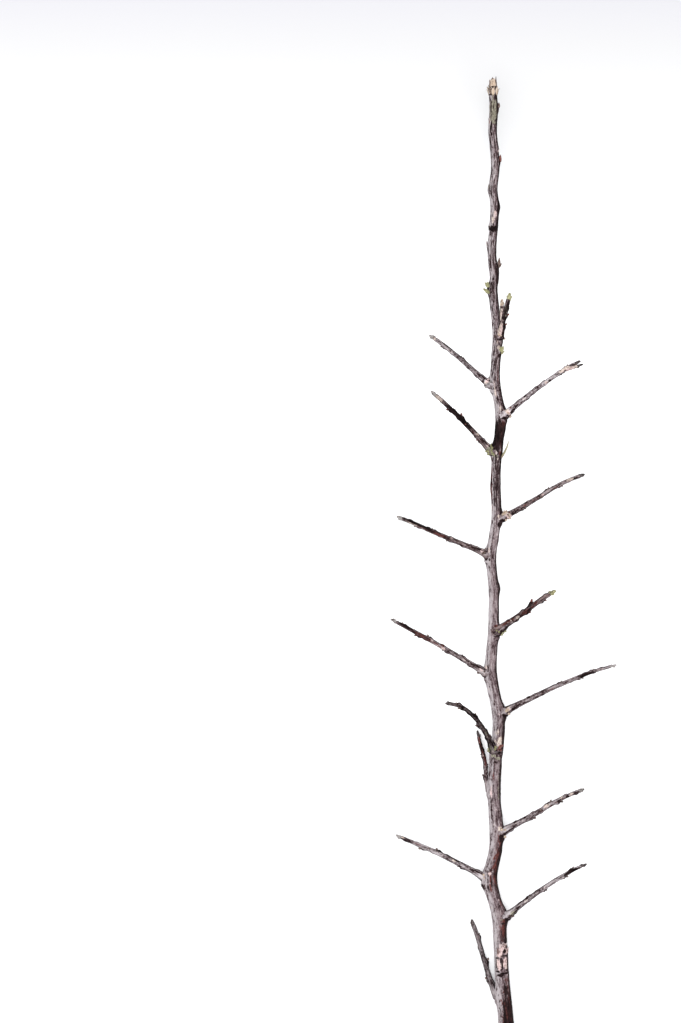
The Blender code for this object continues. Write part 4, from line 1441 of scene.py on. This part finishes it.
@dataclass
class CutFace:
    """The cut end: a thin disc with a slightly domed, sawn face and a sunken pith.

    Attributes:
        stem: the stem.
        tube: the stem's surface.
        rings: how many rings from the middle to the edge.
        sides: how many sides each ring has.
    """

    stem: Stem
    tube: BarkTube
    rings: int = 26
    sides: int = 72

    def build(self, material: bpy.types.Material) -> bpy.types.Object:
        """Makes the disc. Its face is a cone so flat that it falls 0.15 mm from middle to edge."""
        forward, up, right = self.stem.axes(0.0)
        sides = headings(self.sides)[0]
        around, bark = self.tube.heading[0], self.tube.radii[0]
        edge = np.interp(sides, np.append(around, 360), np.append(bark, bark[0]))
        cosine, sine = np.cos(np.radians(sides)), np.sin(np.radians(sides))
        share = np.concatenate([[0.5, 0.965], np.linspace(0.965, 0.02, self.rings)])[:, None]
        depth = np.full_like(share, 0.45)
        depth[2:] = 0.03 - 0.03 * (1 - share[2:]) + 0.25 * bell(share[2:], 0.13)
        places = np.stack([share * 9 * cosine, share * 9 * sine, 0 * share * sine], axis=-1)
        depth = depth + 0.02 * value_noise(places, 5)
        outward = up * cosine[:, None] + right * sine[:, None]
        skin = self.stem.route[0] + outward * (share * edge)[..., None] + forward * depth[..., None]
        grain = np.stack([share * edge * cosine, share * edge * sine, depth], axis=-1)
        marks = np.stack([share + 0 * sine] * 4, axis=-1)
        parts = MeshParts()
        skin, grain, marks = skin[::-1], grain[::-1], marks[::-1]
        parts.add_tube(skin, grain, marks, skin[0].mean(axis=0), skin[-1].mean(axis=0))
        return parts.build("cut_face", material, "bark")


# ---- the materials
Socket = bpy.types.NodeSocket


class NodeTree:
    """A short way to write shader nodes."""

    def __init__(self, tree: bpy.types.NodeTree) -> None:
        """Wraps a node tree."""
        self.tree = tree

    def node(self, kind: str, **settings: object) -> bpy.types.Node:
        """Adds a node and sets its properties."""
        made = self.tree.nodes.new(kind)
        for name, value in settings.items():
            setattr(made, name, value)
        return made

    def feed(self, socket: Socket, value: object) -> None:
        """Links an output to a socket, or sets the socket's own value."""
        if isinstance(value, Socket):
            self.tree.links.new(value, socket)
        else:
            socket.default_value = value

    def math(self, operation: str, first: object, second: object = 0.0, clamp: bool = False) -> Socket:
        """A Math node's result."""
        made = self.node("ShaderNodeMath", operation=operation, use_clamp=clamp)
        self.feed(made.inputs[0], first)
        self.feed(made.inputs[1], second)
        return made.outputs[0]

    def plus(self, first: object, second: object) -> Socket:
        """The sum of two values."""
        return self.math("ADD", first, second)

    def less(self, first: object, second: object) -> Socket:
        """The first value less the second."""
        return self.math("SUBTRACT", first, second)

    def times(self, first: object, second: object) -> Socket:
        """The product of two values."""
        return self.math("MULTIPLY", first, second)

    def swing(self, value: object, share: float) -> Socket:
        """A share of how far a value is from its middle, 0.5."""
        return self.times(self.less(value, 0.5), share)

    def attribute(self, name: str) -> bpy.types.bpy_prop_collection:
        """The outputs of one of the mesh's attributes."""
        return self.node("ShaderNodeAttribute", attribute_name=name).outputs

    def split(self, value: object, kind: str = "Color") -> bpy.types.bpy_prop_collection:
        """A colour's three channels, or a vector's three numbers where the kind is XYZ."""
        made = self.node("ShaderNodeSeparate" + kind)
        self.feed(made.inputs[0], value)
        return made.outputs

    def relief(self, shader: bpy.types.Node, height: Socket, depth: float) -> None:
        """Gives a shader a fine relief, with its depth in metres."""
        made = self.node("ShaderNodeBump")
        made.inputs["Strength"].default_value = 1.0
        made.inputs["Distance"].default_value = depth
        self.feed(made.inputs["Height"], height)
        self.feed(shader.inputs["Normal"], made.outputs["Normal"])

    def stretch(self, vector: object, scale: tuple[float, float, float]) -> Socket:
        """A vector multiplied by a scale along each axis."""
        made = self.node("ShaderNodeVectorMath", operation="MULTIPLY")
        self.feed(made.inputs[0], vector)
        self.feed(made.inputs[1], scale)
        return made.outputs[0]

    def unit(self, vector: object) -> Socket:
        """A vector's direction, one unit long."""
        made = self.node("ShaderNodeVectorMath", operation="NORMALIZE")
        self.feed(made.inputs[0], vector)
        return made.outputs[0]

    def noise(self, vector: object, detail: float = 3.0, roughness: float = 0.55) -> Socket:
        """Noise with features of about one unit."""
        made = self.node("ShaderNodeTexNoise", noise_dimensions="3D")
        self.feed(made.inputs["Vector"], vector)
        self.feed(made.inputs["Scale"], 1.0)
        self.feed(made.inputs["Detail"], detail)
        self.feed(made.inputs["Roughness"], roughness)
        return made.outputs["Fac"]

    def spots(self, vector: object, randomness: float = 1.0) -> Socket:
        """The distance to the nearest of a field of scattered points."""
        made = self.node("ShaderNodeTexVoronoi", voronoi_dimensions="3D", feature="F1")
        self.feed(made.inputs["Vector"], vector)
        self.feed(made.inputs["Scale"], 1.0)
        self.feed(made.inputs["Randomness"], randomness)
        return made.outputs["Distance"]

    def span(self, value: object, start: float, end: float, low: float = 0.0, high: float = 1.0) -> Socket:
        """A value carried smoothly from one range to another, and held at the ends."""
        made = self.node("ShaderNodeMapRange", interpolation_type="SMOOTHSTEP", clamp=True)
        for name, setting in (("From Min", start), ("From Max", end), ("To Min", low), ("To Max", high)):
            made.inputs[name].default_value = setting
        self.feed(made.inputs["Value"], value)
        return made.outputs["Result"]

    def blend(self, share: object, first: object, second: object, mode: str = "MIX") -> Socket:
        """Two colours mixed."""
        made = self.node("ShaderNodeMix", data_type="RGBA", blend_type=mode)
        self.feed(made.inputs[0], share)
        self.feed(made.inputs[6], first)
        self.feed(made.inputs[7], second)
        return made.outputs[2]

    def ramp(self, value: object, stops: Sequence[tuple[float, Sequence[float]]]) -> Socket:
        """A colour read off a row of stops."""
        made = self.node("ShaderNodeValToRGB")
        self.feed(made.inputs[0], value)
        elements = made.color_ramp.elements
        while len(elements) < len(stops):
            elements.new(1.0)
        for element, (place, colour) in zip(elements, stops):
            element.position = place
            element.color = (*colour, 1.0)
        return made.outputs[0]


def new_group(name: str, inputs: dict[str, str]) -> tuple:
    """Starts a node group that makes a colour, a roughness and a height.

    Args:
        name: the group's name.
        inputs: the name and kind of each input.

    Returns:
        The group, its NodeTree, the values that it is given and the sockets for its results.
    """
    group = bpy.data.node_groups.new(name, "ShaderNodeTree")
    for label, kind in inputs.items():
        group.interface.new_socket(label, in_out="INPUT", socket_type="NodeSocket" + kind)
    for label, kind in {"Color": "Color", "Roughness": "Float", "Height": "Float"}.items():
        group.interface.new_socket(label, in_out="OUTPUT", socket_type="NodeSocket" + kind)
    tree = NodeTree(group)
    return group, tree, tree.node("NodeGroupInput").outputs, tree.node("NodeGroupOutput").inputs


CALM_FADE = (235.0, 290.0)  # where along a piece its calm bark fades out, in mm
MIDDLE_TONE = 0.535  # the tone that calm bark's contrast shrinks towards


def bark_group() -> bpy.types.NodeTree:
    """The bark's colour, roughness and height.

    Long streaks run with the grain between dark brown, mauve-grey and silver. Thin broken lines are its
    fissures and small pale dots its lenticels. Painted light lays a pale grey over the side that faces the
    given way, the lit side. The marks lay red, pale, black and olive patches over it, each with an edge torn
    by the streaks; the black ones are partly painted shade. Calm bark has fewer fissures and less contrast
    until
    CALM_FADE.
    """
    group, tree, given, result = new_group(
        "bark tone",
        {
            "Grain": "Vector", "Marks": "Color", "Olive": "Float", "Warmth": "Float", "Lightness": "Float",
            "Painted Light": "Float", "Painted Light Side": "Vector", "Calm": "Float",
        },
    )
    grain = given["Grain"]
    streak = tree.noise(tree.stretch(grain, (1.15, 1.15, 0.22)), 2.5, 0.60)
    patches = tree.noise(tree.stretch(grain, (0.32, 0.32, 0.075)), 2.0, 0.5)
    fine = tree.noise(tree.stretch(grain, (3.2, 3.2, 1.1)), 3.0, 0.6)
    threads = tree.noise(tree.stretch(grain, (2.0, 2.0, 0.20)), 2.0, 0.55)
    specks = tree.noise(tree.stretch(grain, (1.5, 1.5, 1.0)), 2.0, 0.5)

    tone = tree.plus(streak, tree.swing(patches, 0.50))
    tone = tree.plus(tone, tree.swing(fine, 0.40))
    tone = tree.plus(tone, tree.swing(specks, 0.40))
    calm = tree.times(tree.span(tree.split(grain, "XYZ")[2], *CALM_FADE, 1.0, 0.0), given["Calm"])
    contrast = tree.less(1.0, tree.times(calm, 0.40))
    tone = tree.plus(tree.times(tree.less(tone, MIDDLE_TONE), contrast), MIDDLE_TONE)
    colour = tree.ramp(
        tone,
        (
            (0.32, (0.005, 0.002, 0.002)),
            (0.39, (0.026, 0.014, 0.015)),
            (0.45, (0.076, 0.052, 0.055)),
            (0.51, (0.138, 0.103, 0.110)),
            (0.57, (0.215, 0.178, 0.186)),
            (0.64, (0.310, 0.272, 0.280)),
            (0.74, (0.440, 0.405, 0.410)),
        ),
    )
    warm = tree.blend(tree.span(tone, 0.38, 0.62), (0.020, 0.006, 0.005, 1), (0.205, 0.110, 0.095, 1))
    warm_share = tree.times(given["Warmth"], tree.span(patches, 0.38, 0.62, 0.25, 1.0))
    colour = tree.blend(warm_share, colour, warm)

    middle = tree.math("ABSOLUTE", tree.less(threads, 0.5))
    fissure = tree.times(tree.span(middle, 0.008, 0.036, 1.0, 0.0), tree.span(patches, 0.40, 0.56))
    fissure = tree.times(fissure, tree.span(specks, 0.42, 0.52))
    fissure = tree.times(fissure, tree.less(1.0, tree.times(calm, 0.75)))
    colour = tree.blend(tree.times(fissure, 0.80), colour, (0.016, 0.008, 0.008, 1))

    dot = tree.span(tree.spots(tree.stretch(grain, (0.80, 0.80, 0.45))), 0.10, 0.20, 1.0, 0.0)
    dot = tree.times(dot, tree.span(fine, 0.45, 0.6))
    colour = tree.blend(tree.times(dot, 0.75), colour, (0.42, 0.36, 0.34, 1))
    grit = tree.span(tree.noise(tree.stretch(grain, (4.5, 4.5, 3.0)), 2.0, 0.6), 0.60, 0.68)
    colour = tree.blend(tree.times(grit, 0.65), colour, (0.014, 0.009, 0.009, 1))

    # Painted light: a pale grey laid over the darker bark on the lit side, the one that faces the given way.
    facing = tree.node("ShaderNodeVectorMath", operation="DOT_PRODUCT")
    tree.feed(facing.inputs[0], tree.unit(tree.stretch(grain, (1.0, 1.0, 0.0))))
    tree.feed(facing.inputs[1], given["Painted Light Side"])
    painted_light = tree.times(tree.span(facing.outputs["Value"], 0.20, 0.92), given["Painted Light"])
    painted_light = tree.times(painted_light, tree.span(tone, 0.40, 0.56))
    colour = tree.blend(painted_light, colour, (0.345, 0.315, 0.322, 1))

    def torn(mask: object, bite: float) -> Socket:
        """A mark's share, torn along the streaks and the fine noise."""
        shift = tree.plus(tree.swing(streak, bite), tree.swing(fine, 0.6 * bite))
        return tree.times(tree.span(tree.plus(mask, shift), 0.34, 0.66), tree.span(mask, 0.02, 0.2))

    marks = tree.split(given["Marks"])
    olive = tree.blend(tree.span(fine, 0.36, 0.62), (0.072, 0.062, 0.044, 1), (0.27, 0.25, 0.195, 1))
    colour = tree.blend(torn(given["Olive"], 2.2), colour, olive)
    red = tree.blend(tree.span(tone, 0.38, 0.62), (0.006, 0.002, 0.002, 1), (0.102, 0.034, 0.030, 1))
    colour = tree.blend(torn(marks[0], 2.6), colour, red)
    pink = tree.blend(tree.span(patches, 0.42, 0.58), (0.53, 0.405, 0.395, 1), (0.51, 0.44, 0.385, 1))
    pale = tree.blend(tree.span(fine, 0.38, 0.54), (0.20, 0.125, 0.105, 1), pink)
    colour = tree.blend(torn(marks[1], 2.4), colour, pale)
    # The dark channel: dark bark, and the painted shade laid along the sides, in creases and under shoots and
    # buds.
    black = tree.blend(tree.span(tone, 0.36, 0.66), (0.002, 0.001, 0.001, 1), (0.020, 0.010, 0.010, 1))
    colour = tree.blend(torn(marks[2], 2.6), colour, black)

    bright = tree.node("ShaderNodeVectorMath", operation="SCALE")
    tree.feed(bright.inputs[0], colour)
    tree.feed(bright.inputs["Scale"], given["Lightness"])
    tree.feed(result["Color"], bright.outputs[0])
    tree.feed(result["Roughness"], tree.less(0.86, tree.times(tree.span(tone, 0.45, 0.75), 0.26)))
    height = tree.plus(tree.times(streak, 0.55), tree.times(fine, 0.30))
    height = tree.less(height, tree.times(fissure, 0.45))
    tree.feed(result["Height"], tree.plus(height, tree.times(dot, 0.25)))
    return group


def bud_group() -> bpy.types.NodeTree:
    """The bud scales' colour and height. Each scale has its own tone, a dry edge and fine dark specks, and
    painted shade darkens each bud's foot.
    """
    group, tree, given, result = new_group(
        "bud tone", {"Grain": "Vector", "Marks": "Color", "Body": "Color", "Shade": "Color", "Edge": "Color"}
    )
    edge, length, shade = tree.split(given["Marks"]).values()
    grain = given["Grain"]
    mottle = tree.noise(tree.stretch(grain, (2.4, 2.4, 2.4)), 4.0, 0.6)
    lines = tree.noise(tree.stretch(grain, (9.0, 9.0, 9.0)), 2.0, 0.6)
    share = tree.plus(tree.times(shade, 0.6), tree.times(mottle, 0.6))
    colour = tree.blend(tree.span(share, 0.42, 0.68), given["Shade"], given["Body"])
    colour = tree.blend(tree.times(edge, 0.75), colour, given["Edge"])
    # Painted shade: each bud and plate darkens towards its foot, where it meets what it grows from.
    colour = tree.blend(tree.span(length, 0.25, 0.0, 0.0, 0.7), colour, given["Shade"])
    colour = tree.blend(tree.span(lines, 0.60, 0.70, 0.0, 0.5), colour, (0.035, 0.022, 0.016, 1))
    tree.feed(result["Color"], colour)
    tree.feed(result["Roughness"], tree.span(mottle, 0.3, 0.7, 0.5, 0.8))
    tree.feed(result["Height"], tree.plus(mottle, tree.times(lines, 0.5)))
    return group


@dataclass(frozen=True)
class BarkFinish:
    """Bark for one piece of wood.

    Attributes:
        name: the material's name.
        warmth: how red-brown it is.
        lightness: how pale it is.
        painted_light: how strongly painted light pales its lit side.
        painted_light_side: the cosine and sine of the lit side's heading, and 0.
        bump: how deep its fine relief is, in metres.
        calm: how smooth it is until CALM_FADE.
    """

    name: str
    warmth: float
    lightness: float
    painted_light: float
    painted_light_side: tuple[float, float, float] = (0.97, 0.0, 0.0)
    bump: float = 0.00030
    calm: float = 0.0

    def build(self, group: bpy.types.NodeTree) -> bpy.types.Material:
        """Makes the material."""
        settings = {
            "Warmth": self.warmth,
            "Lightness": self.lightness,
            "Painted Light": self.painted_light,
            "Painted Light Side": self.painted_light_side,
            "Calm": self.calm,
        }
        material, shader = toned_material(self.name, group, settings, self.bump)
        shader.inputs["Specular IOR Level"].default_value = 0.06
        return material


@dataclass(frozen=True)
class BudFinish:
    """Bud scales of one palette.

    Attributes:
        body: the scales' main colour.
        shade: the colour where they are dark.
        edge: the colour of their dry edges.
    """

    body: Colour
    shade: Colour
    edge: Colour

    def build(self, name: str, group: bpy.types.NodeTree) -> bpy.types.Material:
        """Makes the material."""
        settings = {"Body": (*self.body, 1.0), "Shade": (*self.shade, 1.0), "Edge": (*self.edge, 1.0)}
        material, shader = toned_material(name, group, settings, 0.00016)
        shader.inputs["Specular IOR Level"].default_value = 0.12
        shader.inputs["Subsurface Weight"].default_value = 0.04
        shader.inputs["Subsurface Radius"].default_value = (0.001, 0.0006, 0.0003)
        return material


BUD_FINISHES = {
    Palette.GREEN: BudFinish((0.225, 0.215, 0.105), (0.016, 0.013, 0.007), (0.48, 0.465, 0.29)),
    Palette.CREAM: BudFinish((0.45, 0.345, 0.26), (0.050, 0.028, 0.020), (0.68, 0.60, 0.51)),
    Palette.GREY: BudFinish((0.23, 0.21, 0.205), (0.035, 0.026, 0.024), (0.40, 0.37, 0.35)),
    Palette.RED: BudFinish((0.12, 0.036, 0.030), (0.020, 0.006, 0.005), (0.24, 0.125, 0.105)),
    Palette.BROWN: BudFinish((0.095, 0.060, 0.052), (0.014, 0.009, 0.008), (0.25, 0.20, 0.17)),
    Palette.DARK: BudFinish((0.036, 0.024, 0.024), (0.006, 0.004, 0.004), (0.17, 0.145, 0.14)),
    Palette.PAPER: BudFinish((0.46, 0.375, 0.365), (0.12, 0.070, 0.065), (0.62, 0.55, 0.54)),
}


def plain_material(name: str) -> tuple[bpy.types.Material, NodeTree, bpy.types.Node]:
    """A material with a Principled shader alone."""
    material = bpy.data.materials.new(name)
    material.use_nodes = True
    return material, NodeTree(material.node_tree), material.node_tree.nodes["Principled BSDF"]


def toned_material(
    name: str, group: bpy.types.NodeTree, settings: dict[str, object], depth: float
) -> tuple[bpy.types.Material, bpy.types.Node]:
    """A material whose colour, roughness and relief come from a tone group.

    Args:
        name: the material's name.
        group: the tone group, which also reads the mesh's grain vector and marks.
        settings: the value of each of the group's other inputs.
        depth: how deep its fine relief is, in metres.

    Returns:
        The material and its shader.
    """
    material, tree, shader = plain_material(name)
    tone = tree.node("ShaderNodeGroup", node_tree=group)
    marks = tree.attribute("marks")
    tree.feed(tone.inputs["Grain"], tree.attribute("grain")["Vector"])
    tree.feed(tone.inputs["Marks"], marks["Color"])
    if "Olive" in tone.inputs:
        tree.feed(tone.inputs["Olive"], marks["Alpha"])
    for label, value in settings.items():
        tone.inputs[label].default_value = value
    tree.feed(shader.inputs["Base Color"], tone.outputs["Color"])
    tree.feed(shader.inputs["Roughness"], tone.outputs["Roughness"])
    tree.relief(shader, tone.outputs["Height"], depth)
    return material, shader


def awn_material() -> bpy.types.Material:
    """Dry straw: pale yellow-green, browner towards its foot, with fine lines along it."""
    material, tree, shader = plain_material("dry awn")
    grain = tree.attribute("grain")["Vector"]
    lines = tree.noise(tree.stretch(grain, (6.0, 6.0, 0.5)), 3.0, 0.6)
    along = tree.split(grain, "XYZ")[2]
    body = tree.blend(tree.span(lines, 0.35, 0.65), (0.15, 0.135, 0.07, 1), (0.31, 0.285, 0.175, 1))
    body = tree.blend(tree.span(along, 0.5, 3.0, 0.6, 0.0), body, (0.11, 0.06, 0.045, 1))
    tree.feed(shader.inputs["Base Color"], body)
    shader.inputs["Roughness"].default_value = 0.6
    tree.relief(shader, lines, 0.00008)
    return material


def cut_wood_material() -> bpy.types.Material:
    """A sawn end: cream wood with a growth ring, pores, a brown pith and a green-brown rim under the bark."""
    material, tree, shader = plain_material("cut wood")
    grain = tree.attribute("grain")["Vector"]
    wobble = tree.noise(tree.stretch(grain, (0.9, 0.9, 0.9)), 3.0, 0.6)
    radius = tree.plus(tree.split(tree.attribute("marks")["Color"])[0], tree.swing(wobble, 0.05))
    colour = tree.ramp(
        radius,
        (
            (0.00, (0.16, 0.09, 0.05)),
            (0.12, (0.24, 0.15, 0.09)),
            (0.17, (0.58, 0.46, 0.31)),
            (0.44, (0.66, 0.55, 0.39)),
            (0.50, (0.42, 0.30, 0.19)),
            (0.54, (0.64, 0.53, 0.37)),
            (0.79, (0.62, 0.52, 0.36)),
            (0.84, (0.38, 0.33, 0.17)),
            (0.90, (0.24, 0.19, 0.10)),
            (0.97, (0.12, 0.075, 0.055)),
        ),
    )
    saw = tree.noise(tree.stretch(grain, (1.0, 7.0, 1.0)), 3.0, 0.6)
    pores = tree.span(tree.spots(tree.stretch(grain, (3.5, 3.5, 3.5))), 0.12, 0.24, 0.55, 0.0)
    colour = tree.blend(pores, colour, (0.22, 0.14, 0.08, 1))
    colour = tree.blend(tree.span(saw, 0.3, 0.7, 0.0, 0.22), colour, (0.30, 0.21, 0.13, 1))
    tree.feed(shader.inputs["Base Color"], colour)
    shader.inputs["Roughness"].default_value = 0.78
    tree.relief(shader, saw, 0.0001)
    return material


# ---- the stage
@dataclass(frozen=True)
class Studio:
    """A plain pale floor, soft light from above and a little to the left, and the camera straight above.

    Attributes:
        eye: where the camera is, in metres.
        view_height: how much of the twig's level the picture's height covers, in metres.
        twig_level: the height of the twig's middle, in metres.
        sensor: the camera sensor's height, in mm.
        floor_reach: half the floor's side, in metres.
        floor_drop: how far the floor is under the twig, in metres.
        painted_falloff_start: where the floor's painted falloff of the light starts, in metres beyond the
            twig's middle.
        painted_falloff_length: the distance over which the painted falloff darkens the floor, in metres.
    """

    eye: tuple[float, float, float] = (-0.08165, 0.0310, 2.4)
    view_height: float = 0.5115
    twig_level: float = 0.012
    sensor: float = 24.0
    floor_reach: float = 3.0
    floor_drop: float = 0.0002
    painted_falloff_start: float = 0.12
    painted_falloff_length: float = 0.18

    def floor(self) -> None:
        """Makes the floor. It is white near the twig and darker beyond the twig's tip, a painted falloff of
        the light, slightly bluer at the far end.
        """
        signs = ((-1, -1), (1, -1), (1, 1), (-1, 1))
        corners = [(x * self.floor_reach, y * self.floor_reach, -self.floor_drop) for x, y in signs]
        mesh = bpy.data.meshes.new("floor")
        mesh.from_pydata(corners, [], [(0, 1, 2, 3)])
        material, tree, shader = plain_material("pale floor")
        place = tree.split(tree.node("ShaderNodeTexCoord").outputs["Object"], "XYZ")[1]
        far = tree.math("DIVIDE", tree.less(place, self.painted_falloff_start), self.painted_falloff_length, clamp=True)
        # Painted falloff of the light: the floor's colour darkens away from the twig.
        colour = tree.ramp(
            far,
            (
                (0.00, (0.93, 0.93, 0.93)),
                (0.28, (0.75, 0.75, 0.75)),
                (0.44, (0.63, 0.63, 0.63)),
                (0.58, (0.565, 0.565, 0.565)),
                (0.70, (0.528, 0.527, 0.527)),
                (0.81, (0.500, 0.498, 0.501)),
                (0.91, (0.474, 0.471, 0.486)),
                (1.00, (0.452, 0.448, 0.468)),
            ),
        )
        tree.feed(shader.inputs["Base Color"], colour)
        shader.inputs["Roughness"].default_value = 0.9
        shader.inputs["Specular IOR Level"].default_value = 0.0
        mesh.materials.append(material)
        floor = place_object("floor", mesh)

    def lamp(self, name: str, place: Sequence[float], size: float, power: float) -> None:
        """Makes a square soft light that faces the twig."""
        light = bpy.data.lights.new(name, "AREA")
        light.shape = "SQUARE"
        light.size = size
        light.energy = power
        lamp = place_object(name, light)
        lamp.location = place
        lamp.rotation_euler = (-Vector(place)).to_track_quat("-Z", "Y").to_euler()

    def camera(self) -> None:
        """Makes the camera: a long lens that looks straight down."""
        data = bpy.data.cameras.new("camera")
        data.sensor_fit = "VERTICAL"
        data.sensor_height = self.sensor
        data.lens = self.sensor * (self.eye[2] - self.twig_level) / self.view_height
        data.clip_end = 10.0
        camera = place_object("camera", data)
        camera.location = self.eye
        bpy.context.scene.camera = camera

    def build(self) -> None:
        """Sets the whole stage."""
        self.floor()
        self.lamp("key light", place=(-0.60, 0.30, 1.8), size=2.0, power=34.0)
        self.lamp("fill light", place=(0.40, -0.2, 2.1), size=2.2, power=30.0)
        world = bpy.data.worlds.new("studio")
        world.use_nodes = True
        sky = world.node_tree.nodes["Background"].inputs
        sky["Color"].default_value = (0.96, 0.97, 1.0, 1.0)
        sky["Strength"].default_value = 0.85
        scene = bpy.context.scene
        scene.world = world
        scene.view_settings.view_transform = "Standard"
        scene.view_settings.look = "None"
        self.camera()


def main() -> None:
    """Builds the twig's looks and the stage."""
    bark = bark_group()
    scales = bud_group()
    finishes = {palette: finish.build(palette.value, scales) for palette, finish in BUD_FINISHES.items()}

    stem = Stem()
    tube = stem.shaped()
    parts = MeshParts()
    tube.radii[0] *= 0.97  # the bark draws in a little round the cut face
    tube.add_to(parts, -0.6, TIP_BULGE)
    # The stem's bark takes painted light on its left and upper side, the lit side.
    stem_bark = BarkFinish(
        "stem bark", warmth=0.15, lightness=1.0, painted_light=0.8, painted_light_side=(0.25, -0.97, 0.0), calm=1.0
    )
    parts.build("stem", stem_bark.build(bark), "bark")

    maker = BudMaker(stem, tube, finishes)
    shoots = {}
    for design in SHOOTS:
        shoot = SideShoot(design, stem)
        shoots[design.name] = shoot
        # Painted light on each shoot's upper, lit side, less on the redder shoots.
        painted_light = max(0.0, 0.75 - 0.9 * design.warmth)
        finish = BarkFinish(design.name + " bark", design.warmth, design.lightness, painted_light)
        shoot.build(finish.build(bark))
        maker.shoot_buds(shoot)
        maker.collar_beads(shoot)
        seed = TIP_BUD_SEED + 3 * SHOOTS.index(design)
        maker.tip_bud(design.name + "_tip_bud", shoot.route, design.tip_radius, design.palette, seed)
    # The prongs take a little painted light on their upper side.
    prong_bark = BarkFinish("prong bark", warmth=0.5, lightness=0.9, painted_light=0.2).build(bark)
    for design in PRONGS:
        prong = Prong(design, shoots[design.parent])
        prong.build(prong_bark)
        seed = PRONG_TIP_SEED + 3 * PRONGS.index(design)
        maker.tip_bud(design.name + "_tip_bud", prong.route, design.tip_radius, design.palette, seed)

    for number, design in enumerate(STEM_BUDS):
        maker.stem_bud(design, STEM_BUD_SEED + 10 * number)
    maker.apex()
    maker.awn(AWN, awn_material())
    BarkFlakes(stem, tube).build(finishes[Palette.PAPER])
    CutFace(stem, tube).build(cut_wood_material())

    Studio().build()


if __name__ == "__main__":
    main()
